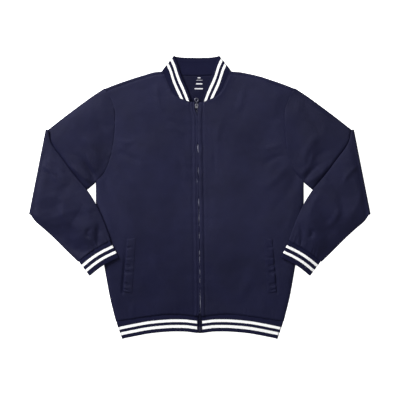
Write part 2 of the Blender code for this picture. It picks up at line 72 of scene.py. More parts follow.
# Walls, a little thinner than the solids', and the heights that the solids' layers lie at
CLOTH = 1.3 * MM
RIB = 2.4 * MM
TAPE = 0.9 * MM
SEAM = 0.3 * MM
UNDER_MID = CLOTH / 2  # middle of the back's wall
OVER_MID = 5.4 * MM  # middle of the fronts' walls
STACK = 6.5 * MM  # underside of what lies on the fronts
EDGE_BEND = 1.5 * MM  # bend of a sleeve's wall along its laid edges
LOW_EDGE = 2.0 * CLOTH + SEAM - CLOTH / 2
RIB_BEND = 2.3 * MM
FOLD_RADIUS = STACK - SEAM / 2
TUCK = 1.8 * MM  # how far a rib goes in under the cloth sewn to it
HEM_HANG = 1.2 * MM  # how far the hem's free edge hangs past the solid's


class Side(Enum):
    """The wearer's two sides, with the sign of X."""

    LEFT = 1
    RIGHT = -1

    @property
    def word(self) -> str:
        """The side's name as the nodes spell it."""
        return self.name.lower()


class Spot(NamedTuple):
    """A point of the left half's plan, in millimetres."""

    x: float
    y: float


Spots = tuple[Spot, ...]


class Chord(NamedTuple):
    """A line across a laid sleeve between its two laid edges, in millimetres."""

    ax: float
    ay: float
    bx: float
    by: float

    def ends(self) -> Array:
        """Both ends in metres."""
        return np.array(((self.ax, self.ay), (self.bx, self.by))) * MM


class Cut:
    """Outlines of the laid pieces, one half of the jacket, in millimetres."""

    SIDE = (Spot(230.8, -342.5), Spot(235.1, -327), Spot(247.4, -277.5), Spot(256.7, -228),
            Spot(263.5, -186), Spot(276, -95), Spot(284.9, -24), Spot(285.5, 43))
    ARMHOLE = (Spot(285.5, 43), Spot(259, 77.7), Spot(241, 137), Spot(234.6, 199),
               Spot(235, 239), Spot(248.4, 277), Spot(256, 292.8))
    SHOULDER = (Spot(262, 299), Spot(229.4, 311.8), Spot(197.6, 322.8), Spot(163, 333.8),
                Spot(122.5, 344), Spot(96, 347.5))
    BACK_NECK = (Spot(96, 347.5), Spot(70, 341), Spot(35, 337.5), Spot(0, 336.5))
    NECKLINE = (Spot(20, 263.6), Spot(41.5, 270.5), Spot(56.5, 277.5), Spot(71, 293),
                Spot(85.5, 322.8), Spot(96, 347.5))
    NECK_CORNER = Spot(98.2, 343.9)
    HEM_SEAM = (Spot(0, -329), Spot(25, -327.3), Spot(41, -325.2), Spot(82.6, -323.4),
                Spot(137.7, -328.7), Spot(205, -339), Spot(230.8, -342.5))
    HEM_EDGE = (Spot(0, -374), Spot(25, -370.8), Spot(41, -369.2), Spot(82.6, -369.3),
                Spot(137.7, -374.3), Spot(200, -386), Spot(214.4, -389.4))
    COLLAR_EDGE = (Spot(16.5, 270), Spot(24.9, 295.2), Spot(34.4, 317.3), Spot(43.7, 339.3),
                   Spot(54, 371), Spot(62.8, 389.4))
    COLLAR_BACK_EDGE = (Spot(62.8, 389.4), Spot(40, 386), Spot(0, 384.5))
    UPPER_ARM = (Chord(262, 299, 285.5, 43), Chord(299, 276, 314, 20),
                 Chord(343, 245.8, 365, -8), Chord(385, 216, 418, -28.5),
                 Chord(424.5, 186.5, 470.5, -47))
    FOREARM = (Chord(424.5, 186.5, 470.5, -47), Chord(406, 150, 458, -64.5),
               Chord(368, 101, 437, -82.5), Chord(329, 43, 410.5, -106.3),
               Chord(296, -5, 384.5, -131), Chord(268, -60, 358, -156.5),
               Chord(244.5, -120, 335, -177.5))
    WELT_OPENING = (Spot(199.7, -115.8), Spot(210.7, -259.7))
    WELT_INNER = (Spot(176.1, -112.4), Spot(185.9, -265.2))
    CUFF_BOW = 4.0 * MM
    CUFF_LENGTH = 50.0 * MM
    CUFF_INSET = 2.5 * MM
    CUFF_NARROWING = 4.5 * MM
    ZIP_SLOT = 5.7 * MM
    ZIP_TOP = 262.0 * MM
    NECK_LEAN = -9.0 * MM
    LEAN_FROM = -374.0 * MM
    LEAN_TO = 255.0 * MM
    LEAN_INNER = 96.0 * MM
    LEAN_OUTER = 165.0 * MM


# ---- lines and plans

CURVE_STEPS = 40
NEAR_CHUNK = 4000


def ease(value: Array | float) -> Array:
    """Ease from 0 to 1, flat at both ends."""
    value = np.clip(value, 0.0, 1.0)
    return value * value * (3 - 2 * value)


def bell(offset: Array, width: float) -> Array:
    """1 where the offset is 0, falling away on both sides."""
    return np.exp(-(offset / width) ** 2)


def even(count: int) -> Array:
    """Shares of count equal steps."""
    return np.linspace(0, 1, count + 1)


def unit(vectors: Array) -> Array:
    """Vectors at length 1."""
    return vectors / np.linalg.norm(vectors, axis=-1, keepdims=True)


def spot_array(spots: Spots) -> Array:
    """Table spots as an array of metres."""
    return np.array([(spot.x, spot.y) for spot in spots]) * MM


def lengths_along(line: Array) -> Array:
    """Distance of each point of a line from its start."""
    return np.concatenate(([0.0], np.cumsum(np.linalg.norm(np.diff(line, axis=0), axis=1))))


def resample(line: Array, shares: Array) -> Array:
    """Points at the given shares of a line's length.

    Args:
        line: its points, any number of coordinates.
        shares: places along it, from 0 to 1.

    Returns:
        One point for each share.
    """
    lengths = lengths_along(line)
    want = shares * lengths[-1]
    return np.stack([np.interp(want, lengths, line[:, k]) for k in range(line.shape[1])], axis=1)


def smooth_line(spots: Spots | Array, shares: Array) -> Array:
    """A smooth curve through spots, read at shares of its length.

    Args:
        spots: table spots, or points in metres.
        shares: places along the curve, from 0 to 1.

    Returns:
        Points in metres, one for each share.
    """
    points = spots if isinstance(spots, np.ndarray) else spot_array(spots)
    ends = np.vstack((2 * points[0] - points[1], points, 2 * points[-1] - points[-2]))
    t = np.linspace(0, 1, CURVE_STEPS, endpoint=False)[:, None]
    runs = []
    for i in range(len(points) - 1):
        a, b, c, d = ends[i:i + 4]
        runs.append((b * 2 + (c - a) * t + (a * 2 - b * 5 + c * 4 - d) * t ** 2
                     + (b * 3 - a - c * 3 + d) * t ** 3) / 2)
    return resample(np.vstack(runs + [points[-1:]]), shares)


def zip_x(y: Array | float) -> Array | float:
    """X of the zip's middle line at a distance up the jacket."""
    return Cut.NECK_LEAN * np.clip((y - Cut.LEAN_FROM) / (Cut.LEAN_TO - Cut.LEAN_FROM), 0, 1)


def mirror(side: Side, points: Array) -> Array:
    """Mirror plan points or offsets to a side, or back from it."""
    return points * np.array((side.value, 1))


def lay(side: Side, points: Array) -> Array:
    """Place points of the half plan on their side, with the lean of the neck.

    Args:
        side: the side to lay them on.
        points: points of the left half's plan.

    Returns:
        The points in the jacket's frame.
    """
    fade = 1 - ease((points[..., 0] - Cut.LEAN_INNER) / (Cut.LEAN_OUTER - Cut.LEAN_INNER))
    x = side.value * points[..., 0] + zip_x(points[..., 1]) * fade
    return np.stack((x, points[..., 1]), axis=-1)


def laid_line(side: Side, spots: Spots, count: int = 400) -> Array:
    """A table line laid on its side, as closely spaced points."""
    return lay(side, smooth_line(spots, even(count)))


def normals_of(line: Array) -> Array:
    """Unit vectors at right angles to a plan line, to the left of its run."""
    steps = unit(np.gradient(line, axis=0))
    return np.stack((-steps[:, 1], steps[:, 0]), axis=1)


def crosswise(a: Array, b: Array) -> Array:
    """Unit vector at right angles to the line from a to b, to its left."""
    line = unit(b - a)
    return np.array((-line[1], line[0]))


def nearest(points: Array, line: Array) -> tuple[Array, Array]:
    """Distance of plan points from a line, and how far along it they are.

    Args:
        points: any array of plan points.
        line: closely spaced points of the line.

    Returns:
        Signed distances, positive to the left of the line's run, and places along it.
    """
    flat = points.reshape(-1, 2)
    best = np.empty(len(flat), int)
    for start in range(0, len(flat), NEAR_CHUNK):
        gap = flat[start:start + NEAR_CHUNK, None, :] - line[None]
        best[start:start + NEAR_CHUNK] = np.argmin((gap ** 2).sum(2), axis=1)
    normal = normals_of(line)[best]
    rel = flat - line[best]
    across = (rel * normal).sum(1)
    along = rel[:, 0] * normal[:, 1] - rel[:, 1] * normal[:, 0]
    inside = (best > 0) & (best < len(line) - 1)
    distance = np.where(inside, across, np.copysign(np.linalg.norm(rel, axis=1), across))
    place = lengths_along(line)[best] + along
    return distance.reshape(points.shape[:-1]), place.reshape(points.shape[:-1])


def distance_to(points: Array, line: Array) -> tuple[Array, Array]:
    """Distance from a line without its sign, and the place along it."""
    distance, along = nearest(points, line)
    return np.abs(distance), along


def patch(bottom: Array, top: Array, left: Array, right: Array, across: Array) -> Array:
    """Fill four edges with a grid of plan points.

    Args:
        bottom: lower edge, from left to right, at the shares in across.
        top: upper edge, likewise.
        left: left edge, from bottom to top.
        right: right edge, from bottom to top.
        across: share of the width of each column.

    Returns:
        The grid, rows from the bottom up.
    """
    v = np.linspace(0, 1, len(left))[:, None, None]
    u = across[None, :, None]
    edges = bottom[None] * (1 - v) + top[None] * v + left[:, None] * (1 - u) + right[:, None] * u
    corners = (bottom[0] * (1 - u) * (1 - v) + bottom[-1] * u * (1 - v)
               + top[0] * (1 - u) * v + top[-1] * u * v)
    return edges - corners


def polygon_area(line: Array) -> float:
    """Area inside a closed plan line."""
    x, y = line[:, 0], line[:, 1]
    return float(abs(np.dot(x, np.roll(y, -1)) - np.dot(y, np.roll(x, -1))) / 2)


def with_height(points: Array, z: Array | float) -> Array:
    """Plan points with their heights."""
    return np.concatenate((points, np.broadcast_to(z, points.shape[:-1])[..., None]), axis=-1)


# ---- folds


@dataclass(frozen=True)
class Fold:
    """A soft ridge, or a trough if its height is negative, in millimetres of the laid plan.

    It runs from (x0, y0) to (x1, y1), bows by bend, and is steeper by lee on its left.
    """

    x0: float
    y0: float
    x1: float
    y1: float
    width: float
    height: float
    bend: float = 0.0
    lee: float = 1.0

    def rise(self, points: Array) -> Array:
        """Height that the fold adds.

        Args:
            points: plan points.

        Returns:
            One height for each point.
        """
        start = np.array((self.x0, self.y0)) * MM
        run = np.array((self.x1, self.y1)) * MM - start
        length = np.linalg.norm(run)
        run = run / length
        along = ((points - start) @ run) / length
        across = (points - start) @ np.array((-run[1], run[0]))
        offset = (across - self.bend * MM * 4 * along * (1 - along)) / (self.width * MM)
        offset = np.where(offset > 0, offset * self.lee, offset)
        ends = ease((along + 0.2) / 0.5) * ease((1.2 - along) / 0.5)
        return self.height * MM * np.exp(-offset ** 2) * ends


@dataclass(frozen=True)
class Swell:
    """A broad rise or hollow of the cloth, in millimetres of the laid plan."""

    x: float
    y: float
    across: float
    along: float
    height: float

    def rise(self, points: Array) -> Array:
        """Height that the swell adds at plan points."""
        dx, dy = points[..., 0] / MM - self.x, points[..., 1] / MM - self.y
        return self.height * MM * np.exp(-(dx / self.across) ** 2 - (dy / self.along) ** 2)


@dataclass(frozen=True)
class Ripple:
    """Small uneven waves all over a piece, a sum of plane waves in seeded directions."""

    wavelength: float
    height: float
    seed: int
    waves: int = 12

    def rise(self, points: Array) -> Array:
        """Height that the waves add.

        Args:
            points: plan points.

        Returns:
            One height for each point.
        """
        draw = np.random.default_rng(self.seed)
        total = np.zeros(points.shape[:-1])
        for _ in range(self.waves):
            turn = draw.uniform(0, 2 * pi)
            length = self.wavelength * MM * draw.uniform(0.7, 1.6)
            phase = draw.uniform(0, 2 * pi)
            place = points[..., 0] * np.cos(turn) + points[..., 1] * np.sin(turn)
            total += np.sin(2 * pi * place / length + phase)
        return total * self.height * MM / np.sqrt(self.waves)


Relief = Sequence[Fold | Swell | Ripple]


def relief_height(relief: Relief, points: Array) -> Array:
    """Sum of what a list of folds, swells and ripples adds at plan points."""
    return sum((item.rise(points) for item in relief), np.zeros(points.shape[:-1]))


@dataclass(frozen=True)
class Puckers:
    """Short uneven waves that a seam draws into the cloth beside it, in millimetres."""

    height: float  # of a wave at the seam
    reach: float  # how far from the seam the waves die out
    pitch: float  # typical distance between waves

    def rise(self, distance: Array, along: Array) -> Array:
        """Height that the waves add.

        Args:
            distance: distance from the seam.
            along: place along the seam.

        Returns:
            One height for each point.
        """
        turn = 2 * pi * along / (self.pitch * MM)
        wave = np.sin(turn + 1.7 * np.sin(turn * 0.37) + 0.9 * np.sin(turn * 0.19 + 1))
        uneven = 0.65 + 0.35 * np.sin(turn * 0.23 + 2)
        return self.height * MM * wave * uneven * np.exp(-np.abs(distance) / (self.reach * MM))


def seam_roll(distance: Array, lift: float, reach: float) -> Array:
    """How the cloth swells beside a rib's seam, and turns down at its very edge."""
    return lift * np.exp(-distance / reach) - lift * bell(distance, 1.3 * MM)


# ---- meshes


def drop_selection() -> None:
    """Leave nothing selected before a new piece is made."""
    bpy.ops.object.select_all(action="DESELECT")


def make_active(obj: Piece) -> None:
    """Select one object alone.

    Args:
        obj: the object.
    """
    drop_selection()
    obj.select_set(True)
    bpy.context.view_layer.objects.active = obj


def edit(obj: Piece, *steps: Callable[[], object]) -> None:
    """Run operators on all of an object's mesh in edit mode.

    Args:
        obj: the object.
        steps: what to run, one after the other.
    """
    make_active(obj)
    bpy.ops.object.mode_set(mode="EDIT")
    bpy.ops.mesh.select_all(action="SELECT")
    for step in steps:
        step()
    bpy.ops.object.mode_set(mode="OBJECT")


def merge() -> None:
    """Merge equal points in edit mode."""
    bpy.ops.mesh.remove_doubles(threshold=0.01 * MM)


def cap_ends() -> None:
    """Close the open ends of a band in edit mode."""
    bpy.ops.mesh.select_all(action="DESELECT")
    bpy.ops.mesh.select_non_manifold()
    bpy.ops.mesh.fill_holes(sides=0)


def outward(obj: Piece) -> None:
    """Turn a closed mesh's faces out."""
    edit(obj, lambda: bpy.ops.mesh.normals_make_consistent(inside=False))


def modify(obj: Piece, kind: str, **settings: object) -> None:
    """Put a modifier on an object and apply it.

    Args:
        obj: the object.
        kind: the modifier's type.
        settings: its properties.
    """
    modifier = obj.modifiers.new(kind.lower(), kind)
    for key, value in settings.items():
        setattr(modifier, key, value)
    make_active(obj)
    bpy.ops.object.modifier_apply(modifier=modifier.name)


def give_wall(obj: Piece, thickness: float) -> None:
    """Give a sheet its wall, half to each side."""
    modify(obj, "SOLIDIFY", thickness=thickness, offset=0, use_even_offset=False)
    obj.data.shade_smooth()


def new_mesh(name: str, points: list[Sequence[float]], faces: list[Sequence[int]]) -> Piece:
    """Make an object from points and faces.

    Args:
        name: the piece's name.
        points: its points.
        faces: each face's corners, as numbers of points.

    Returns:
        The new object, shaded smooth.
    """
    mesh = bpy.data.meshes.new(name)
    mesh.from_pydata(points, [], faces)
    mesh.shade_smooth()
    obj = bpy.data.objects.new(name, mesh)
    bpy.context.scene.collection.objects.link(obj)
    return obj


def grid_mesh(name: str, grids: Sequence[Array], closed: bool = False,
              uvs: Sequence[Array] | None = None) -> Piece:
    """Make one object from grids of points.

    Args:
        name: the piece's name.
        grids: rows by columns by three coordinates.
        closed: whether each row is a ring.
        uvs: the grids' places on the flat cloth, unless they lie as they are measured.

    Returns:
        The new object, its equal points merged where there are several grids.
    """
    uvs = uvs or [flat_uv(grid, closed) for grid in grids]
    points, quads, corners = [], [], []
    start = 0
    for grid, uv in zip(grids, uvs):
        rows, columns = grid.shape[:2]
        i = np.arange(rows - 1)[:, None]
        j = np.arange(columns if closed else columns - 1)[None]
        k = (j + 1) % columns
        square = (i * columns + j, i * columns + k, (i + 1) * columns + k, (i + 1) * columns + j)
        quads.append(np.stack(square, axis=-1).reshape(-1, 4) + start)
        loops = (uv[i, j], uv[i, j + 1], uv[i + 1, j + 1], uv[i + 1, j])
        corners.append(np.stack(loops, axis=2).reshape(-1, 2))
        points.append(grid.reshape(-1, 3))
        start += rows * columns
    obj = new_mesh(name, np.vstack(points).tolist(), np.vstack(quads).tolist())
    layer = obj.data.uv_layers.new(name="cloth")
    layer.data.foreach_set("uv", np.vstack(corners).astype(np.float32).ravel())
    if len(grids) > 1:
        edit(obj, merge)
    return obj


def flat_uv(grid: Array, closed: bool) -> Array:
    """Place of each grid point on the flat cloth: along its row and up its column.

    Args:
        grid: rows by columns by three coordinates.
        closed: whether each row is a ring.

    Returns:
        Places in metres, with one more column if closed.
    """
    rows = np.concatenate((grid, grid[:, :1]), axis=1) if closed else grid
    along = np.linalg.norm(np.diff(rows, axis=1), axis=2)
    u = np.concatenate((np.zeros((len(rows), 1)), np.cumsum(along, axis=1)), axis=1)
    u -= u[:, u.shape[1] // 2][:, None]
    up = np.linalg.norm(np.diff(rows, axis=0), axis=2)
    v = np.concatenate((np.zeros((1, rows.shape[1])), np.cumsum(up, axis=0)), axis=0)
    return np.stack((u, v), axis=-1)


def sheet_mesh(name: str, points: Array, thickness: float) -> Piece:
    """Make a sheet of cloth with its wall.

    Args:
        name: the piece's name.
        points: a grid of points.
        thickness: the wall's thickness.

    Returns:
        The new object.
    """
    obj = grid_mesh(name, [points])
    give_wall(obj, thickness)
    return obj


# ---- hanging pieces on the solids


@dataclass(frozen=True)
class FlatCut:
    """A piece of cloth before it is sewn: its width, length and area, and how it lies."""

    size: Pair
    area: float
    rests_on: tuple[str, ...] = ()
    held: str = "laid"


def hang(obj: Piece, finish: Finish, node: str | None = None,
         body: str = BODY) -> None:
    """Dress a finished piece, attach it to its body, and hide the solid that it replaces.

    Args:
        obj: the piece.
        finish: its finish.
        node: the solid that it replaces, if any.
        body: the body that it moves with.
    """
    finish.dress(obj)
    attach(obj, body)
    if node is not None:
        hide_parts(node)
    LOG.info("%s: %d faces", obj.name, len(obj.data.polygons))


# ---- body panels


def seam_of_shoulder(shares: Array) -> tuple[Array, Array]:
    """The laid edge of a shoulder and its seam, set in from the edge on the front.

    Args:
        shares: places along the shoulder, from the armhole to the neck.

    Returns:
        Points of the edge and of the seam.
    """
    edge = smooth_line(Cut.SHOULDER, shares)
    start = spot_array(Cut.ARMHOLE)[-1]
    seam = edge + normals_of(edge) * np.linalg.norm(edge[0] - start)
    seam[0] = start
    seam[-1, 0] = Cut.NECK_CORNER.x * MM
    return edge, seam


def hem_run(spots: Spots, start: float, shares: Array) -> Array:
    """Points of a hem line from a distance off the middle out to the side.

    Args:
        spots: the line's table spots.
        start: where it starts, off the middle.
        shares: places along it.

    Returns:
        One point for each share.
    """
    line = smooth_line(spots, even(200))
    line = line[line[:, 0] > start + SEAM]
    return resample(np.vstack(([[start, line[0, 1]]], line)), shares)


def chord_lines(chords: Sequence[Chord], shares: Array) -> tuple[Array, Array]:
    """The two laid edges of a stretch of sleeve at shares of its length."""
    ends = np.stack([chord.ends() for chord in chords])
    return smooth_line(ends[:, 0], shares), smooth_line(ends[:, 1], shares)


def joined_shares(parts: Sequence[int]) -> list[Array]:
    """Shares for stretches of an edge, each without its last point but the final one."""
    last = len(parts) - 1
    return [even(count) if i == last else even(count)[:-1] for i, count in enumerate(parts)]


def outer_edge(side_rows: int, armhole_rows: int) -> Array:
    """The side and the armhole of the half plan, from the hem up."""
    side, hole = joined_shares((side_rows, armhole_rows))
    return np.vstack((smooth_line(Cut.SIDE, side), smooth_line(Cut.ARMHOLE, hole)))


def held_down(distance: Array, least: float, reach: float) -> Array:
    """Share of a fold's height left at a distance from where the cloth is held."""
    return least + (1 - least) * ease(distance / reach)


@dataclass(frozen=True)
class PanelGrid:
    """Counts of the fine rows on the stretches of a front's edges."""

    side_rows: int = 80
    armhole_rows: int = 124
    zip_rows: int = 98
    corner_rows: int = 10
    width: float = 280 * MM
    step: float = 3.2 * MM
    fine: tuple[float, ...] = (0.0, 0.5, 1.2, 2.2, 3.4, 4.8, 6.4, 8.2, 10.2, 12.4, 14.8)

    def across(self) -> Array:
        """Shares of the width, with extra columns near both edges.

        Returns:
            One share for each column.
        """
        fine = np.array(self.fine) * MM
        last = fine[-1]
        inner = np.linspace(last, self.width - last, int((self.width - last * 2) / self.step) + 2)
        return np.concatenate((fine[:-1], inner, self.width - fine[-2::-1])) / self.width

    def front(self) -> Array:
        """Plan of the half jacket's front.

        Returns:
            The grid, its rows running from the side to the zip.
        """
        across = self.across()
        rest = self.side_rows + self.armhole_rows - self.zip_rows - self.corner_rows
        below, corner, neck = joined_shares((self.zip_rows, self.corner_rows, rest))
        seam = seam_of_shoulder(across)[1]
        hem = hem_run(Cut.HEM_SEAM, Cut.ZIP_SLOT, 1 - across[::-1])[::-1]
        top = np.array((Cut.ZIP_SLOT, Cut.ZIP_TOP))
        neckline = smooth_line(Cut.NECKLINE, neck)
        neckline[-1] = seam[-1]
        inner = np.vstack((hem[-1] + (top - hem[-1]) * below[:, None],
                           top + (neckline[0] - top) * corner[:, None], neckline))
        return patch(hem, seam, outer_edge(self.side_rows, self.armhole_rows), inner, across)


@dataclass(frozen=True)
class FrontForm:
    """Heights of one front panel's cloth over the plan."""

    side: Side
    relief: Relief
    edge_lift: float = 1.1 * MM
    placket: float = 11.5 * MM  # from the front's edge to its stitched line
    pocket_depth: float = 1.0

    HEM = Puckers(0.55, 16, 15)
    ARMHOLE = Puckers(0.3, 9, 21)
    NECK = Puckers(0.3, 8, 14)
    SHOULDER = Puckers(0.18, 8, 18)
    SIDE_SEAM = Puckers(0.3, 12, 27)
    OPENING = Puckers(0.5, 7, 23)
    WELT_SEAM = Puckers(0.4, 9, 19)
    ZIP = Puckers(0.5, 13, 12.5)
    ZIP_WIDE = Puckers(0.5, 30, 31)
    PRESSED = OVER_MID + 0.3 * MM  # under a forearm

    def zip_distance(self, points: Array) -> Array:
        """Distance out from the middle line of the zip."""
        return self.side.value * (points[..., 0] - zip_x(points[..., 1]))

    def height(self, points: Array) -> Array:
        """Height of the middle of the wall.

        Args:
            points: plan points.

        Returns:
            One height for each point.
        """
        side, hole, hem, neck = (distance_to(points, laid_line(self.side, line)) for line in
                                 (Cut.SIDE, Cut.ARMHOLE, Cut.HEM_SEAM, Cut.NECKLINE))
        shoulder = distance_to(points, lay(self.side, seam_of_shoulder(even(300))[1]))
        middle = self.zip_distance(points)
        seams = np.minimum.reduce((hole[0], hem[0], neck[0], shoulder[0]))
        held = held_down(seams, 0.25, 35 * MM) * held_down(side[0], 0.2, 30 * MM)
        held *= held_down(middle - 10 * MM, 0.35, 30 * MM)
        z = OVER_MID + relief_height(self.relief, points) * held
        low_side = ease((43 * MM - points[..., 1]) / (30 * MM) + 0.3)
        z -= (OVER_MID - LOW_EDGE) * np.clip(1 - side[0] / (16 * MM), 0, 1) ** 2.2 * low_side
        z -= 0.45 * MM * bell(hole[0], 2.4 * MM) + 0.9 * MM * bell(shoulder[0], 2.5 * MM)
        z += seam_roll(hem[0], 0.6 * MM, 14 * MM) + seam_roll(neck[0], 0.8 * MM, 10 * MM)
        z += self.HEM.rise(*hem) + self.ARMHOLE.rise(*hole)
        z = np.minimum(z, self.under_sleeve(points, z))
        z += self.NECK.rise(*neck) + self.SHOULDER.rise(*shoulder) + self.SIDE_SEAM.rise(*side)
        return z + self.placket_height(points, middle) + self.pocket_height(points)

    def pocket_height(self, points: Array) -> Array:
        """The trough along a pocket's opening, and the puckers on both sides of the welt.

        Args:
            points: plan points.

        Returns:
            Heights to add.
        """
        opening, along = nearest(points, laid_line(self.side, Cut.WELT_OPENING))
        outside = opening * self.side.value
        inner = distance_to(points, laid_line(self.side, Cut.WELT_INNER))
        depth = 0.6 + 2.6 * ease((-140 * MM - points[..., 1]) / (60 * MM))
        trough = -depth * self.pocket_depth * MM * bell(outside - 2.2 * MM, 3.6 * MM)
        return trough + self.OPENING.rise(opening, along) + self.WELT_SEAM.rise(*inner)

    def under_sleeve(self, points: Array, z: Array) -> Array:
        """The height that the cloth is pressed down to where the forearm lies on it.

        Args:
            points: plan points.
            z: their heights if nothing lay on them.

        Returns:
            One height for each point.
        """
        place = mirror(self.side, points)
        edge = chord_lines(Cut.FOREARM, even(200))[0]
        bare = ease((-nearest(place, edge)[0] + 8 * MM) / (16 * MM))
        free = ease((-110 * MM - points[..., 1]) / (25 * MM))
        bare = np.maximum(bare, free * ease((248 * MM - place[..., 0]) / (14 * MM)))
        return self.PRESSED * (1 - bare) + np.maximum(z, self.PRESSED) * bare

    def placket_height(self, points: Array, middle: Array) -> Array:
        """The rise of the zip edge, its stitched line and the ripples along it.

        Args:
            points: plan points.
            middle: their distance from the zip's middle line.

        Returns:
            Heights to add.
        """
        edge = middle - Cut.ZIP_SLOT
        along = points[..., 1]
        lift = self.edge_lift * (1 - ease(edge / (28 * MM)))
        groove = -1.2 * MM * bell(edge - self.placket, 1.9 * MM)
        if self.side is Side.RIGHT:
            groove = groove - 1.3 * MM * bell(edge - 4.4 * MM, 1.5 * MM)
        roll = 0.9 * MM * bell(edge - 5 * MM, 4.5 * MM)
        ripple = self.ZIP.rise(edge, along) + self.ZIP_WIDE.rise(edge, along + 70 * MM)
        open_top = ease((along - 225 * MM) / (30 * MM))
        return (lift + roll) * (1 - open_top) + groove + ripple


class Parting(NamedTuple):
    """A stretch of the zip where the fronts' edges part over the teeth, in millimetres."""

    y: float
    half_length: float
    width: float


@dataclass(frozen=True)
class FrontPanel:
    """One front of the shell, from the side seam to the zip."""

    side: Side
    form: FrontForm
    edge_from_middle: float
    grid: PanelGrid = PanelGrid()

    PARTINGS = (Parting(135, 11, 6.4), Parting(72, 14, 3.6), Parting(-12, 10, 3.4),
                Parting(-57, 24, 3.0), Parting(-107, 7, 2.6), Parting(-151, 6, 3.6),
                Parting(-169, 8, 2.6), Parting(-206, 6, 2.8), Parting(-229, 6, 2.8),
                Parting(-290, 19, 3.2))
    CUT = (0.282, 0.672)

    def build(self, finish: Finish) -> None:
        """Make the panel.

        Args:
            finish: the shell cloth.
        """
        half = self.grid.front()
        plan = lay(self.side, half)
        node = f"front_{self.side.word}"
        points = with_height(self.over_the_teeth(plan), self.form.height(plan))
        obj = sheet_mesh(f"{node}_cloth", points, CLOTH)
        hang(obj, finish, node)

    def over_the_teeth(self, plan: Array) -> Array:
        """Let the zip edge creep unevenly over the teeth, and draw back at both ends.

        Args:
            plan: the panel's laid plan.

        Returns:
            The plan with its zip edge moved.
        """
        middle = self.form.zip_distance(plan)
        y = plan[..., 1] / MM
        shift = Cut.ZIP_SLOT - self.edge_from_middle + 0.35 * MM * np.sin(y / 13 + self.side.value)
        for gap in self.PARTINGS:
            shift = shift - gap.width / 2 * MM * bell(y - gap.y, gap.half_length)
        shift = shift * (1 - ease((y - 224) / 18)) * ease((y + 332) / 20)
        near = 1 - ease((middle - Cut.ZIP_SLOT) / (24 * MM))
        moved = plan.copy()
        moved[..., 0] -= self.side.value * shift * near
        return moved


@dataclass(frozen=True)
class BackPanel:
    """The back of the shell, on the table, turned over the shoulders to their seams."""

    relief: Relief
    columns: int = 88
    neck_columns: int = 30
    side_rows: int = 64
    armhole_rows: int = 64
    turn_steps: int = 10
    turned: Pair = (0.176, 0.013)  # length and width of a turned shoulder

    CUT = (0.578, 0.706)
    ON_FRONT = (0.25, 0.5, 0.7, 0.85, 0.95, 1.0)  # rows from the turn to the shoulder's seam

    def build(self, finish: Finish) -> None:
        """Make the panel.

        Args:
            finish: the shell cloth, with shade painted on its inner face in the neck.
        """
        main, turns = self.grids()
        obj = grid_mesh("back_cloth", [main] + turns)
        outward(obj)
        give_wall(obj, CLOTH)
        hang(obj, finish, "back_panel")

    def grids(self) -> tuple[Array, list[Array]]:
        """Grids of the panel and of its two turned shoulders.

        Returns:
            The panel's grid, and one for each shoulder.
        """
        across = even(self.columns)
        edge, seam = seam_of_shoulder(across)
        pivot = edge + unit(seam - edge) * (RIB_BEND + CLOTH / 2)
        miss = spot_array((Cut.NECK_CORNER,))[0] - pivot[-1]
        pivot += miss * ease((across - 0.85) / 0.15)[:, None]
        neck = smooth_line(Cut.BACK_NECK, even(self.neck_columns))
        top = np.vstack((pivot, neck[1:]))
        total = self.columns + self.neck_columns
        hem = hem_run(Cut.HEM_SEAM, 0, even(total))[::-1]
        outer = outer_edge(self.side_rows, self.armhole_rows)
        outer[-1] = top[0]
        low, high = np.array((0, hem[-1, 1])), np.array((0, neck[-1, 1]))
        middle = low + (high - low) * even(len(outer) - 1)[:, None]
        half = patch(hem, top, outer, middle, even(total))
        plan = np.concatenate((lay(Side.RIGHT, half), lay(Side.LEFT, half)[:, ::-1][:, 1:]), axis=1)
        main = with_height(plan, self.height(plan))
        turns = [self.turn(side, pivot, seam, row[:self.columns + 1])
                 for side, row in ((Side.RIGHT, main[-1]), (Side.LEFT, main[-1][::-1]))]
        return main, turns

    def height(self, plan: Array) -> Array:
        """Heights of the panel on the table, with soft relief in the open neck only.

        Args:
            plan: the panel's laid plan.

        Returns:
            One height for each point.
        """
        neck = np.abs(plan[..., 0] - Cut.NECK_LEAN) / (60 * MM)
        shown = (1 - ease(neck - 0.4)) * ease((plan[..., 1] / MM - 225) / 40)
        lift = relief_height(self.relief, plan) * shown
        return UNDER_MID + np.maximum(lift, 0) * ease((336 - plan[..., 1] / MM) / 12)

    def turn(self, side: Side, pivot: Array, seam: Array, start: Array) -> Array:
        """Grid of one shoulder's turn, from the table up and over to its seam.

        Args:
            side: the shoulder's side.
            pivot: plan points of the line that the cloth turns about.
            seam: plan points of the seam.
            start: the panel's last row of points there.

        Returns:
            The grid, rows from the table up.
        """
        axis, low = lay(side, pivot), lay(side, seam)
        out = unit(axis - low)
        rows = [start]
        for k in range(1, self.turn_steps + 1):
            angle = pi * k / self.turn_steps
            place = axis + out * RIB_BEND * np.sin(angle)
            rows.append(with_height(place, UNDER_MID + RIB_BEND * (1 - np.cos(angle))))
        end = low + out * SEAM
        along = lengths_along(low)
        for share in self.ON_FRONT:
            place = axis + (end - axis) * share
            distance = np.linalg.norm(place - end, axis=1)
            z = OVER_MID - 0.9 * MM * bell(distance, 2.5 * MM)
            rows.append(with_height(place, z + FrontForm.SHOULDER.rise(distance, along)))
        return np.stack(rows)


# ---- sleeves


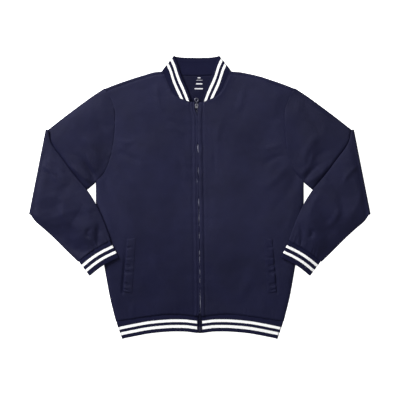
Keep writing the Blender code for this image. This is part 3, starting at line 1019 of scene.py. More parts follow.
def rest_height(plan: Array) -> Array:
    """Underside of what lies over the upper arm and the body, falling to the table.

    Args:
        plan: plan points on either side.

    Returns:
        One height for each point.
    """
    fall_start, fall_end = 30 * MM, 85 * MM
    place = np.stack((np.abs(plan[..., 0]), plan[..., 1]), axis=-1)
    elbow, arm = Cut.UPPER_ARM[-1].ends()[1], Cut.UPPER_ARM[1].ends()[1]
    waist, chest = spot_array((Cut.SIDE[4], Cut.SIDE[6]))
    off_arm = (place - elbow) @ crosswise(elbow, arm)
    off_body = (waist - place) @ crosswise(waist, chest)
    away = np.minimum(off_arm, off_body)
    return STACK * (1 - ease((away - fall_start) / (fall_end - fall_start)))


@dataclass(frozen=True)
class TubeSection:
    """Points round a laid tube: across its upper layer, round an edge, back and round."""

    across: int = 56
    cap: int = 7
    bend: float = EDGE_BEND
    half: float = CLOTH / 2
    loft: float = 1.9 * MM
    loft_reach: float = 16 * MM

    def shares(self) -> Array:
        """Places across a layer, closer together at the edges."""
        return (1 - np.cos(pi * even(self.across) ** 0.9)) / 2 * 0.35 + even(self.across) * 0.65

    def places(self, length: float) -> Array:
        """Distances of the layer's points from its first edge."""
        return self.bend + self.shares() * (length - 2 * self.bend)

    def loop(self, a: Array, b: Array, bow: Array,
             relief: Callable[[Array, Array], Array] | None = None) -> tuple[Array, Array]:
        """Plan points of a ring and how far each stands above the lower skin.

        Args:
            a: first laid edge.
            b: second laid edge.
            bow: how far the points of a layer stand off the chord.
            relief: height added to the upper layer, from its plan points and their distance
                from the nearer edge.

        Returns:
            The ring's plan points and lifts.
        """
        length = np.linalg.norm(b - a)
        line = (b - a) / length
        places = self.places(length)
        plan = a + line * places[:, None] + bow
        inside = np.minimum(places, length - places) - self.bend
        lift = self.half + 2 * self.bend + self.loft * (1 - np.exp(-inside / self.loft_reach))
        if relief is not None:
            lift = lift + relief(plan, inside)
        low = np.full(len(plan), self.half)
        angles = np.linspace(-pi / 2, pi / 2, self.cap + 2)[1:-1]
        in_from_edge = (self.bend * (1 - np.cos(angles)))[:, None]
        cap = self.half + self.bend * (1 - np.sin(angles))
        far, near = b + bow[-1] - line * in_from_edge, a + bow[0] + line * in_from_edge
        return np.vstack((plan, far, plan[::-1], near[::-1])), np.concatenate(
            (lift, cap, low, cap[::-1]))

    def flipped(self, lift: Array) -> Array:
        """Lifts with the two layers changed over, as they lie past the elbow's fold.

        Args:
            lift: a ring's lifts.

        Returns:
            The same lifts in their new order.
        """
        n, cap = self.across + 1, self.cap
        upper, lower = lift[:n], lift[n + cap:2 * n + cap]
        first, second = lift[n:n + cap], lift[2 * n + cap:]
        return np.concatenate((lower, first[::-1], upper[::-1], second[::-1]))


@dataclass(frozen=True)
class SleeveForm:
    """Folds of one sleeve's two shown layers."""

    upper: Relief
    fore: Relief


@dataclass(frozen=True)
class Sleeve:
    """One sleeve: a laid tube folded over at the elbow, its forearm on top."""

    side: Side
    form: SleeveForm
    front: FrontForm
    section: TubeSection = TubeSection()
    upper_rings: int = 62
    fold_rings: int = 12
    fore_rings: int = 98
    lift: float = 0.6 * MM
    loft: float = 4.3 * MM
    fore_length: float = 335 * MM
    drawn_in: float = 11 * MM  # of the forearm's edge where it crosses the upper arm
    armhole_lap: float = -0.45 * MM  # the sleeve meets the front's edge
    folded: Pair = (0.238, 0.0205)  # length and width of cloth round the elbow

    CUT = (0.552, 0.575)
    ARMHOLE = Puckers(0.35, 12, 19)
    GATHERS = Puckers(1.1, 22, 13)
    UNDER_FOREARM = -1.9 * MM

    def build(self, finish: Finish) -> None:
        """Make the sleeve.

        Args:
            finish: the sleeve's cloth.
        """
        node = f"sleeve_{self.side.word}"
        points = np.stack(self.upper_arm() + self.elbow() + self.forearm())
        obj = grid_mesh(f"{node}_cloth", [points], closed=True)
        outward(obj)
        give_wall(obj, CLOTH)
        under = (f"front_{self.side.word}_cloth",)
        cut = FlatCut(self.CUT, self.cut_area(), under, "folded")
        hang(obj, finish, node)

    def cut_area(self) -> float:
        """Area of the tube opened flat.

        Returns:
            Square metres.
        """
        edges = (chord_lines(chords, even(60)) for chords in (Cut.UPPER_ARM, Cut.FOREARM))
        total = sum(2 * polygon_area(np.vstack((first, second[::-1]))) for first, second in edges)
        return total + 2 * self.folded[0] * self.folded[1]

    def ring(self, a: Array, b: Array, bow: Array,
             relief: Callable[[Array, Array], Array] | None = None) -> tuple[Array, Array]:
        """One ring laid on this side."""
        return self.section.loop(lay(self.side, a), lay(self.side, b), mirror(self.side, bow), relief)

    def upper_arm(self) -> list[Array]:
        """Rings from the armhole to the elbow.

        Returns:
            Each ring's points.
        """
        first, second = chord_lines(Cut.UPPER_ARM, even(self.upper_rings))
        shares = self.section.shares()
        hole = smooth_line(Cut.ARMHOLE, 1 - shares)
        hole[0] = first[0]
        chord = second[0] - first[0]
        length = np.linalg.norm(chord)
        bulge = hole - (first[0] + chord / length * self.section.places(length)[:, None])
        bulge[-1] = hole[-1] - second[0]
        out = crosswise(first[-1], second[-1])
        top = slice(0, len(shares))
        rings = []
        for i, (a, b) in enumerate(zip(first, second)):
            share = i / self.upper_rings
            back = out * FOLD_RADIUS * share
            bow = bulge * (1 - ease(share)) + out * self.armhole_lap * (1 - share)
            plan, lift = self.ring(a - back, b - back, bow, self.upper_relief)
            if i == 0:
                met = plan[top]
                miss = self.front.height(met) - lift[top]
            lift[top] += miss * np.exp(-np.linalg.norm(plan[top] - met, axis=1) / (9 * MM))
            rings.append(with_height(plan, lift))
        return rings

    def upper_relief(self, plan: Array, inside: Array) -> Array:
        """Relief of the upper arm's shown layer, held down at the armhole and the elbow.

        Args:
            plan: the layer's plan points.
            inside: their distance from the nearer edge.

        Returns:
            Heights to add.
        """
        hole, along = distance_to(plan, laid_line(self.side, Cut.ARMHOLE))
        place = mirror(self.side, plan)
        elbow = Cut.UPPER_ARM[-1].ends()
        fold = np.abs((place - elbow[0]) @ crosswise(*elbow))
        held = ease(hole / (14 * MM) + 0.3) * ease(fold / (30 * MM)) * ease(inside / (9 * MM) + 0.3)
        loft = self.loft * (1 - np.exp(-inside / (24 * MM))) * ease(hole / (45 * MM) + 0.1)
        height = relief_height(self.form.upper, plan) * held + loft
        height += self.ARMHOLE.rise(hole, along) * ease(inside / (10 * MM))
        from_forearm = -nearest(place, self.forearm_edges(200)[0])[0]
        bare = ease((from_forearm - 0.5 * MM) / (9 * MM))
        return height * bare + self.UNDER_FOREARM * (1 - bare)

    def forearm_edges(self, count: int) -> tuple[Array, Array]:
        """The forearm's two edges, the inner one drawn in where it crosses the upper arm.

        Args:
            count: how many steps each has.

        Returns:
            Plan points of the inner and of the outer edge, from the elbow to the cuff.
        """
        first, second = chord_lines(Cut.FOREARM, even(count))
        share = even(count)[:, None]
        drawn = ease(share / 0.08) * ease((0.6 - share) / 0.32)
        return first + unit(second - first) * self.drawn_in * drawn, second

    def elbow(self) -> list[Array]:
        """Rings round the fold at the elbow.

        Returns:
            Each ring's points.
        """
        a, b = Cut.UPPER_ARM[-1].ends()
        out = crosswise(a, b)
        flat = np.zeros((self.section.across + 1, 2))
        plan, lift = self.ring(a - out * FOLD_RADIUS, b - out * FOLD_RADIUS, flat)
        reach = FOLD_RADIUS - np.minimum(lift, FOLD_RADIUS - 0.3 * MM)
        rings = []
        for k in range(1, self.fold_rings):
            angle = pi * k / self.fold_rings
            moved = plan + mirror(self.side, out) * (np.sin(angle) * reach)[:, None]
            rings.append(with_height(moved, FOLD_RADIUS - np.cos(angle) * reach))
        return rings

    def forearm(self) -> list[Array]:
        """Rings from the elbow to the cuff, lying over what is under them.

        Returns:
            Each ring's points.
        """
        first, second = self.forearm_edges(self.fore_rings)
        out = crosswise(first[0], second[0])
        shares = self.section.shares()
        start = len(shares) + self.section.cap
        shown = slice(start, start + len(shares))
        rings = []
        for i, (a, b) in enumerate(zip(first, second)):
            share = 1 - i / self.fore_rings
            a, b = a - out * FOLD_RADIUS * share, b - out * FOLD_RADIUS * share
            bow = crosswise(a, b) * (Cut.CUFF_BOW * (1 - share) * np.sin(pi * shares))[:, None]
            plan, lift = self.ring(a, b, bow)
            turned = 2 * FOLD_RADIUS - STACK - lift
            lift = turned + (self.section.flipped(lift) - turned) * ease((1 - share) * 12)
            z = rest_height(plan) + self.lift * ease((1 - share) * 6) + lift
            length = np.linalg.norm(b - a)
            inside = np.minimum(shares, 1 - shares)[::-1] * length
            z[shown] += self.fore_relief(plan[shown], inside, shares[::-1] * length, i)
            rings.append(with_height(plan, z))
        return rings

    def fore_relief(self, plan: Array, inside: Array, across: Array, ring: int) -> Array:
        """Relief of the forearm's shown layer, gathered at the cuff.

        Args:
            plan: the layer's plan points.
            inside: their distance from the nearer edge.
            across: their distance from the first edge.
            ring: number of the ring, from the elbow.

        Returns:
            Heights to add.
        """
        from_cuff = (1 - ring / self.fore_rings) * self.fore_length
        from_elbow = ring / self.fore_rings * self.fore_length
        edge = ease(inside / (14 * MM))
        held = edge * ease(from_elbow / (30 * MM) + 0.1) * ease(from_cuff / (20 * MM) + 0.2)
        loft = self.loft * (1 - np.exp(-inside / (30 * MM)))
        loft = loft * ease(from_elbow / (45 * MM)) * (0.05 + 0.95 * ease(from_cuff / (85 * MM)))
        loft += 2.2 * MM * bell(from_cuff - 62 * MM, 30 * MM) * ease(inside / (40 * MM))
        height = relief_height(self.form.fore, plan) * held + loft
        shift = 30 * MM if self.side is Side.LEFT else 0.0
        seam = np.full(len(plan), from_cuff)
        gathers = self.GATHERS.rise(seam, across + shift) * edge
        return height + gathers + seam_roll(seam, 0.6 * MM, 9 * MM)


# ---- ribbed bands


@dataclass(frozen=True)
class RibKnit:
    """The knit of a ribbed band: its wall and its ribs, four points to a rib."""

    wall: float = RIB
    pitch: float = 2.5 * MM
    depth: float = 0.3 * MM
    across: int = 12
    round_steps: int = 5
    inside: float = 58 * MM  # past the stripes, where the inner face is plain

    def stations(self, length: float) -> int:
        """Number of points along a band, four to a rib."""
        return 4 * max(8, round(length / self.pitch))

    def section(self, low: Array, high: Array, up: Array) -> tuple[Array, Array]:
        """Rings of points round the wall, one to a station, and their places on the knit.

        Args:
            low: points of the seam, in the middle of the wall.
            high: points of the free edge.
            up: unit vectors out of the band's face.

        Returns:
            The grid of rings and how far each of its points is from the free edge.
        """
        rib = self.depth * np.cos(np.arange(len(low)) * pi / 2)
        half = self.wall / 2
        run = np.linalg.norm(high - low, axis=1)
        way = (high - low) / run[:, None]
        points, places = [], []

        def face(share: float, out: Array, place: Array) -> None:
            """Add the points of one face.

            Args:
                share: their share of the band's height.
                out: how far they stand out from its middle.
                place: their places on the knit.
            """
            thin = 0.35 + 0.65 * ease(share * 5)
            middle = low + (high - low - way * half) * share
            points.append(middle + up * (out * thin)[:, None])
            places.append(place)

        for share in even(self.across):
            face(share, half + rib, run - run * share)
        for angle in np.linspace(0, pi, self.round_steps + 2)[1:-1]:
            turn = up * np.cos(angle) + way * np.sin(angle)
            points.append(high - way * half + turn * (half + rib * np.cos(angle))[:, None])
            places.append(np.zeros(len(low)))
        for share in even(self.across)[::-1]:
            face(share, rib - half, np.full(len(low), self.inside))
        return np.stack(points, axis=1), np.stack(places, axis=1)

    def band(self, name: str, low: Array, high: Array, up: Array, start: float | None) -> Piece:
        """Make a band, capped at its two ends or closed on itself.

        Args:
            name: the piece's name.
            low: points of the seam, in the middle of the wall.
            high: points of the free edge.
            up: unit vectors out of the band's face.
            start: place on the knit where a closed band starts, or none for an open one, whose
                places are counted from both ends.

        Returns:
            The new object.
        """
        grid, places = self.section(low, high, up)
        along = np.arange(len(low)) * self.pitch / 4
        along = np.minimum(along, along[::-1]) if start is None else start + along
        uv = np.stack((np.broadcast_to(along[:, None], places.shape), places), axis=-1)
        if start is not None:
            grid = np.concatenate((grid, grid[:1]))
            uv = np.concatenate((uv, uv[:1] + np.array((along[1] + along[-1] - 2 * along[0], 0))))
        obj = grid_mesh(name, [grid], True, [np.concatenate((uv, uv[:, :1]), axis=1)])
        edit(obj, *((merge, cap_ends) if start is None else (merge,)))
        outward(obj)
        obj.data.shade_smooth()
        return obj


def faces_up(low: Array, high: Array, closed: bool = False) -> Array:
    """Unit vectors out of a band's face at each station.

    Args:
        low: points of the seam.
        high: points of the free edge.
        closed: whether the last station meets the first.

    Returns:
        One vector for each station, pointing up at the highest.
    """
    middle = (low + high) / 2
    if closed:
        run = np.roll(middle, -1, axis=0) - np.roll(middle, 1, axis=0)
    else:
        run = np.gradient(middle, axis=0)
    up = unit(np.cross(run, high - low))
    return up if up[np.argmax(low[:, 2]), 2] > 0 else -up


@dataclass(frozen=True)
class Band:
    """A ribbed band round the front and the back, open at the zip."""

    name: str
    node: str
    front: tuple[Spots, Spots]
    back: tuple[Spots, Spots]
    flat: Pair
    relief: Relief
    hem: bool
    knit: RibKnit = RibKnit()
    turn_steps: int = 16
    taper: float = 0.93  # area of the cut over that of its oblong

    def half(self, side: Side) -> Array:
        """Half of the band: the front from the middle out, the turn, the back in.

        Args:
            side: the half.

        Returns:
            Closely spaced stations, each with a point of the seam and one of the free edge.
        """
        fine = even(160)
        if self.hem:
            front = [hem_run(line, Cut.ZIP_SLOT, fine) for line in self.front]
            back = [hem_run(line, 0, fine)[::-1] for line in self.back]
        else:
            front, back = ([smooth_line(line, fine) for line in pair]
                           for pair in (self.front, self.back))
        top, table = OVER_MID - 0.5 * MM, RIB / 2
        angles = np.linspace(0, pi, self.turn_steps)
        shift = side.value * (RIB_BEND * (np.sin(angles) - 1) - RIB / 2)
        turn_z = table + (top - table) / 2 * (1 + np.cos(angles))
        edges = []
        for over, under in zip(self.clear(*front), self.clear(*back)):
            end = lay(side, over[-1])
            turn = np.stack((end[0] + shift, np.full(len(shift), end[1]), turn_z), axis=1)
            edges.append(np.vstack((with_height(lay(side, over[:-1]), top), turn,
                                    with_height(lay(side, under[1:]), table))))
        return np.hstack(edges)

    def clear(self, low: Array, high: Array) -> tuple[Array, Array]:
        """Tuck the seam edge under the panel, and let the hem's free edge hang a little."""
        way = unit(high - low)
        return low - way * TUCK, high + way * (HEM_HANG if self.hem else 0.0)

    def build(self, finish: Finish) -> None:
        """Make the band.

        Args:
            finish: the striped rib.
        """
        run = np.vstack((self.half(Side.LEFT), self.half(Side.RIGHT)[::-1][1:]))
        length = lengths_along(run)[-1] / 2 ** 0.5
        run = resample(run, even(self.knit.stations(length)))
        low, high = run[:, :3], run[:, 3:]
        up = faces_up(low, high)
        middle = (low + high) / 2
        shown = ease((middle[:, 2] - 3 * MM) / (2 * MM))
        wave = np.outer(relief_height(self.relief, middle[:, :2]) * shown, (0, 0, 1))
        obj = self.knit.band(self.name, low + wave * 0.3, high + wave, up, None)
        hang(obj, finish, self.node)


@dataclass(frozen=True)
class Cuff:
    """One rib cuff, a laid tube on the end of a sleeve."""

    side: Side
    relief: Relief
    section: TubeSection = TubeSection(across=110, cap=14, bend=1.7 * MM, half=1.1 * MM,
                                       loft=0.5 * MM)
    knit: RibKnit = RibKnit(wall=2.2 * MM, pitch=2.4 * MM)
    lift: float = 0.4 * MM
    flat: Pair = (0.208, 0.05)
    taper: float = 0.97  # area of the cut over that of its oblong

    def build(self, finish: Finish) -> None:
        """Make the cuff.

        Args:
            finish: the striped rib.
        """
        low, high = self.loop(0.0), self.loop(1.0)
        pairs = np.hstack((low, high))
        count = self.knit.stations(lengths_along(low)[-1])
        pairs = resample(np.vstack((pairs, pairs[:1])), even(count))[:-1]
        low, high = pairs[:, :3], pairs[:, 3:]
        node = f"cuff_{self.side.word}"
        up = faces_up(low, high, closed=True)
        obj = self.knit.band(f"{node}_rib", low, high, up, self.knit.inside)
        hang(obj, finish, node)

    def loop(self, share: float) -> Array:
        """Points round the cuff at a share of its length from the seam.

        Args:
            share: 0 at the seam and 1 at the free edge.

        Returns:
            The ring's points.
        """
        a, b = Cut.FOREARM[-1].ends()
        line, down = unit(b - a), -crosswise(a, b)
        inset = Cut.CUFF_INSET + Cut.CUFF_NARROWING * share
        shift = down * (Cut.CUFF_LENGTH * share - TUCK * (1 - share))
        low, high = a + line * inset + shift, b - line * inset + shift
        bow = -down * (Cut.CUFF_BOW * np.sin(pi * self.section.shares()))[:, None]
        plan, lift = self.section.loop(lay(self.side, low), lay(self.side, high),
                                       mirror(self.side, bow), self.wave)
        return with_height(plan, rest_height(plan) + self.lift + lift)

    def wave(self, plan: Array, inside: Array) -> Array:
        """Relief of the cuff's upper layer."""
        return relief_height(self.relief, plan) * ease(inside / (12 * MM))


# ---- zip


@dataclass(frozen=True)
class ZipTape:
    """One woven tape of the zip, under the edge of a front."""

    side: Side
    inner: float = 1.8 * MM
    outer: float = 16.0 * MM
    bottom: float = -371.5 * MM
    top: float = Cut.ZIP_TOP
    middle: float = 3.8 * MM
    columns: int = 12
    rows: int = 200

    def build(self, finish: Finish) -> None:
        """Make the tape.

        Args:
            finish: the woven tape.
        """
        y = np.linspace(self.bottom, self.top, self.rows + 1)[:, None]
        x = np.linspace(self.inner, self.outer, self.columns + 1)[None]
        x, y = np.broadcast_arrays(zip_x(y) + self.side.value * x, y)
        points = with_height(np.stack((x, y), axis=-1), self.middle)
        obj = sheet_mesh(f"tape_{self.side.word}_woven", points, TAPE)
        hang(obj, finish, f"zip_tape_{self.side.word}")


def settle() -> Piece:
    """Set the newest piece's place, turn and scale into its mesh."""
    bpy.ops.object.transform_apply(location=True, rotation=True, scale=True)
    return bpy.context.object


def hard_box(size: Place, middle: Place) -> Piece:
    """A box at its size and place.

    Args:
        size: its size.
        middle: its place.

    Returns:
        The new object.
    """
    drop_selection()
    bpy.ops.mesh.primitive_cube_add(size=1, location=middle, scale=size)
    return settle()


def cross_rod(middle: Place, radius: float, length: float, sides: int,
              ends: str = "NGON") -> Piece:
    """A round rod or tube that lies across the zip.

    Args:
        middle: its place.
        radius: its radius.
        length: its length.
        sides: number of its faces.
        ends: how its ends are filled, as the cylinder operator names it.

    Returns:
        The new object.
    """
    drop_selection()
    bpy.ops.mesh.primitive_cylinder_add(vertices=sides, radius=radius, depth=length,
                                        end_fill_type=ends, location=middle,
                                        rotation=(0, pi / 2, 0))
    return settle()


def rounded(obj: Piece, width: float, segments: int = 3) -> Piece:
    """Round an object's sharp edges.

    Args:
        obj: the object.
        width: width of the rounding.
        segments: its steps.

    Returns:
        The same object.
    """
    modify(obj, "BEVEL", width=width, segments=segments, limit_method="ANGLE")
    obj.data.shade_smooth()
    return obj


def join(name: str, pieces: Sequence[Piece]) -> Piece:
    """Make one named piece of one or several.

    Args:
        name: the piece's name.
        pieces: what it is made of.

    Returns:
        The joined object.
    """
    make_active(pieces[0])
    for piece in pieces[1:]:
        piece.select_set(True)
    if len(pieces) > 1:
        bpy.ops.object.join()
    pieces[0].name = name
    pieces[0].data.name = name
    return pieces[0]


@dataclass(frozen=True)
class Teeth:
    """The closed chain: two rows of moulded teeth that mesh on the middle line."""

    bottom: float = -356.0 * MM
    top: float = 244.0 * MM
    low: float = 4.6 * MM
    height: float = 1.6 * MM
    pitch: float = 2.6 * MM
    tooth: Pair = (3.6 * MM, 1.25 * MM)
    reach: float = 1.15 * MM
    shift: float = 0.8 * MM
    bevel: float = 0.25 * MM

    def row(self, side: Side) -> Piece:
        """One side's teeth.

        Args:
            side: the row's side.

        Returns:
            The row as one object.
        """
        start = self.bottom + (self.pitch / 2 if side is Side.LEFT else 0)
        x = zip_x(start) + self.shift + side.value * self.reach
        middle = (x, start, self.low + self.height / 2)
        tooth = rounded(hard_box((*self.tooth, self.height), middle), self.bevel, 2)
        lean = Cut.NECK_LEAN * self.pitch / (Cut.LEAN_TO - Cut.LEAN_FROM)
        modify(tooth, "ARRAY", use_relative_offset=False, use_constant_offset=True,
               count=int((self.top - start) / self.pitch),
               constant_offset_displace=(lean, self.pitch, 0))
        return tooth

    def build(self, finish: Finish) -> None:
        """Make both rows as one piece."""
        chain = join("zip_teeth", [self.row(side) for side in Side])
        hang(chain, finish, "zip_chain")


@dataclass(frozen=True)
class Pin:
    """The pin that the pull tab turns on, across the slider."""

    y: float = 253.0 * MM
    z: float = 7.7 * MM
    radius: float = 0.7 * MM

    def middle(self) -> Place:
        """The pin's middle."""
        return float(zip_x(self.y)), self.y, self.z


@dataclass(frozen=True)
class Slider:
    """The slider: two shaped plates on a post, and two lugs that hold the tab's pin."""

    y: float = 251.3 * MM
    half: float = 5.9 * MM
    wide: float = 5.2 * MM
    narrow: float = 3.4 * MM
    plate: float = 1.1 * MM
    low: float = 1.9 * MM
    high: float = 4.6 * MM
    pin: Pin = Pin()
    lug: Pair = (0.9 * MM, 3.6 * MM)
    lug_gap: float = 2.0 * MM
    post: float = 1.2 * MM

    def shield(self, low: float) -> Piece:
        """One plate, narrow at the mouth and wide at the shoulders.

        Args:
            low: height of its underside.

        Returns:
            The plate.
        """
        x = self.pin.middle()[0]
        obj = hard_box((2 * self.wide, 2 * self.half, self.plate), (x, self.y, low + self.plate / 2))
        edit(obj, lambda: bpy.ops.mesh.subdivide(number_cuts=11))
        mouth = self.narrow / self.wide
        for vertex in obj.data.vertices:
            share = (vertex.co.y - self.y) / (2 * self.half) + 0.5
            width = mouth + (1 - mouth) * float(ease(share / 0.7))
            width -= 0.3 * float(ease((share - 0.8) / 0.2)) ** 2
            vertex.co.x = x + (vertex.co.x - x) * width
        return rounded(obj, 0.32 * MM)

    def build(self, finish: Finish) -> None:
        """Make the slider.

        Args:
            finish: the slider's metal.
        """
        x, pin_y, pin_z = self.pin.middle()
        pieces = [self.shield(self.high), self.shield(self.low)]
        post = (x, self.y + self.half * 2 / 3, (self.low + self.high + self.plate) / 2)
        pieces.append(hard_box((2 * self.post, self.half / 2, self.high - self.low), post))
        thick, length = self.lug
        foot, top = self.high + self.plate / 2, pin_z + thick
        for side in Side:
            place = (x + side.value * (self.lug_gap + thick / 2), pin_y, (foot + top) / 2)
            pieces.append(rounded(hard_box((thick, length, top - foot), place), 0.38 * MM, 4))
        pieces.append(cross_rod(self.pin.middle(), self.pin.radius, 2 * self.lug_gap + thick, 24))
        hang(join("zip_slider_metal", pieces), finish, "zip_slider")


@dataclass(frozen=True)
class PullTab:
    """The pull tab: a barrel on the slider's pin, a stem and a round ring."""

    pin: Pin = Pin()
    barrel: float = 1.35 * MM
    barrel_wall: float = 0.7 * MM
    barrel_width: float = 3.2 * MM
    stem: Pair = (2.7 * MM, 1.3 * MM)
    ring_y: float = 267.7 * MM
    ring: Pair = (4.5 * MM, 1.5 * MM)
    ring_height: float = 1.4 * MM

    def build(self, finish: Finish) -> None:
        """Make the tab.

        Args:
            finish: the tab's metal.
        """
        x, pin_y, pin_z = self.pin.middle()
        barrel = cross_rod(self.pin.middle(), self.barrel, self.barrel_width, 32, "NOTHING")
        give_wall(barrel, self.barrel_wall)
        drop_selection()
        bpy.ops.mesh.primitive_torus_add(
            location=(x, self.ring_y, pin_z), major_radius=self.ring[0],
            minor_radius=self.ring[1], major_segments=64, minor_segments=20)
        bpy.context.object.scale = (1, 1, self.ring_height / (2 * self.ring[1]))
        ring = settle()
        ring.data.shade_smooth()
        start, end = pin_y + self.barrel, self.ring_y - self.ring[0]
        stem = hard_box((self.stem[0], end - start, self.stem[1]), (x, (start + end) / 2, pin_z))
        tab = join("pull_tab_metal", [ring, barrel, rounded(stem, 0.4 * MM)])
        hang(tab, finish, "zip_pull_tab", body=TAB_BODY)


@dataclass(frozen=True)
class Stop:
    """The pin box at the foot of the zip."""

    size: Place = (6.6 * MM, 13.0 * MM, 1.9 * MM)
    y: float = -363.5 * MM
    z: float = 5.55 * MM

    def build(self, finish: Finish) -> None:
        """Make the stop."""
        box = rounded(hard_box(self.size, (zip_x(self.y), self.y, self.z)), 0.5 * MM)
        hang(join("zip_stop_metal", [box]), finish, "zip_stop")


# ---- welts, stitches, print


class Gather(NamedTuple):
    """A short trough across a welt, in millimetres."""

    place: float  # from the welt's top
    depth: float
    width: float


@dataclass(frozen=True)
class Welt:
    """A pocket's welt on a front, its opening along the outer edge."""

    side: Side
    form: FrontForm
    rows: int = 120
    columns: int = 22
    width: float = 24 * MM
    length: float = 148 * MM
    wall: float = 1.1 * MM
    flat: Pair = (0.025, 0.154)
    area: float = 0.0245 * 0.148

    GATHERS = (Gather(24, 1.6, 3.2), Gather(52, 1.0, 3), Gather(76, 3.4, 4.2),
               Gather(93, 3.0, 4.4), Gather(127, 3.2, 5), Gather(141, 1.8, 3))

    def rise(self) -> Array:
        """Height of the welt over the front: padded, rolled down at its edges, gathered.

        Returns:
            One height for each point.
        """
        u, v = even(self.columns)[None], even(self.rows)[:, None]
        from_opening, from_inner = u * self.width, (1 - u) * self.width
        ends = np.minimum(v, 1 - v) * self.length
        pad = 1.0 * MM * (1 - np.exp(-from_opening / (1.8 * MM)))
        pad = pad * (1 - np.exp(-from_inner / (6 * MM))) * (1 - np.exp(-ends / (3 * MM)))
        trough = -sum(gather.depth * bell(v * self.length - gather.place * MM, gather.width * MM)
                      for gather in self.GATHERS)
        reach = bell(from_opening - 6 * MM, 8 * MM) * ease(ends / (6 * MM))
        step = CLOTH * held_down(2 * v - 0.4, 0.3, 1.0) * (1 - u)
        return step + pad + trough * MM * reach

    def build(self, finish: Finish) -> None:
        """Make the welt.

        Args:
            finish: the shell cloth.
        """
        outer, inner = (smooth_line(line, even(self.rows))[:, None] for line in
                        (Cut.WELT_OPENING, Cut.WELT_INNER))
        share = even(self.columns)[None, :, None]
        plan = lay(self.side, outer * (1 - share) + inner * share)
        points = with_height(plan, self.form.height(plan) + 0.2 * MM + self.rise())
        obj = sheet_mesh(f"welt_{self.side.word}_cloth", points, self.wall)
        hang(obj, finish, f"pocket_welt_{self.side.word}")


@dataclass(frozen=True)
class Stitches:
    """A line of lockstitches: short rounded lengths of thread laid end to end."""

    length: float = 2.6 * MM
    gap: float = 0.7 * MM
    radius: float = 0.22 * MM
    sides: int = 6

    PROFILE = ((-0.5, 0.05), (-0.42, 0.75), (0.0, 1.0), (0.42, 0.75), (0.5, 0.05))

    def build(self, name: str, line: Array, finish: Finish) -> None:
        """Make the stitches along a line of points on the cloth.

        Args:
            name: the piece's name.
            line: points on the top of the cloth.
            finish: the thread's finish.
        """
        points, faces = [], []
        count = int(lengths_along(line)[-1] / (self.length + self.gap))
        centres = resample(line, (np.arange(count) + 0.5) / count)
        ahead = resample(line, np.minimum((np.arange(count) + 0.6) / count, 1))
        around = np.linspace(0, 2 * pi, self.sides, endpoint=False)[:, None]
        for centre, way in zip(centres, unit(ahead - centres)):
            across = unit(np.array((-way[1], way[0], 0.0)))
            ring = across * np.cos(around) + np.cross(way, across) * np.sin(around)
            for low in range(len(points), len(points) + (len(self.PROFILE) - 1) * self.sides,
                             self.sides):
                for j in range(self.sides):
                    k = (j + 1) % self.sides
                    high = low + self.sides
                    faces.append((low + j, low + k, high + k, high + j))
            for place, share in self.PROFILE:
                points.extend((centre + way * place * self.length
                               + ring * share * self.radius).tolist())
        obj = new_mesh(name, points, faces)
        outward(obj)
        hang(obj, finish)


class Bar(NamedTuple):
    """One bar of the neck's print, in millimetres."""

    left: float
    right: float
    y: float
    half: float  # half its height


@dataclass(frozen=True)
class NeckPrint:
    """Plain bars where the size and care details are printed inside the back neck."""

    back: BackPanel
    film: float = 0.06 * MM
    columns: int = 25
    rows: int = 8

    BARS = (Bar(-6.0, 2.0, 329.2, 1.4), Bar(-10.2, 7.2, 322.6, 0.42),
            Bar(-10.4, 7.2, 312.6, 1.7), Bar(-14.2, 8.6, 299.0, 1.6))

    def build(self, finish: Finish) -> None:
        """Make the bars on the inside of the back.

        Args:
            finish: the print's finish.
        """
        grids = []
        for bar in self.BARS:
            middle, reach = (bar.left + bar.right) / 2, (bar.right - bar.left) / 2
            x = middle - reach * np.cos(np.linspace(0, pi, self.columns))
            high = np.minimum(bar.half, (bar.half * (reach - np.abs(x - middle)) * 2) ** 0.5)
            y = bar.y + np.linspace(-1, 1, self.rows)[:, None] * high
            plan = np.stack((np.broadcast_to(x, y.shape), y), axis=-1) * MM
            grids.append(with_height(plan, self.back.height(plan) + CLOTH / 2 + self.film))
        obj = grid_mesh("neck_print", grids)
        give_wall(obj, self.film)
        hang(obj, finish)


# ---- finishes


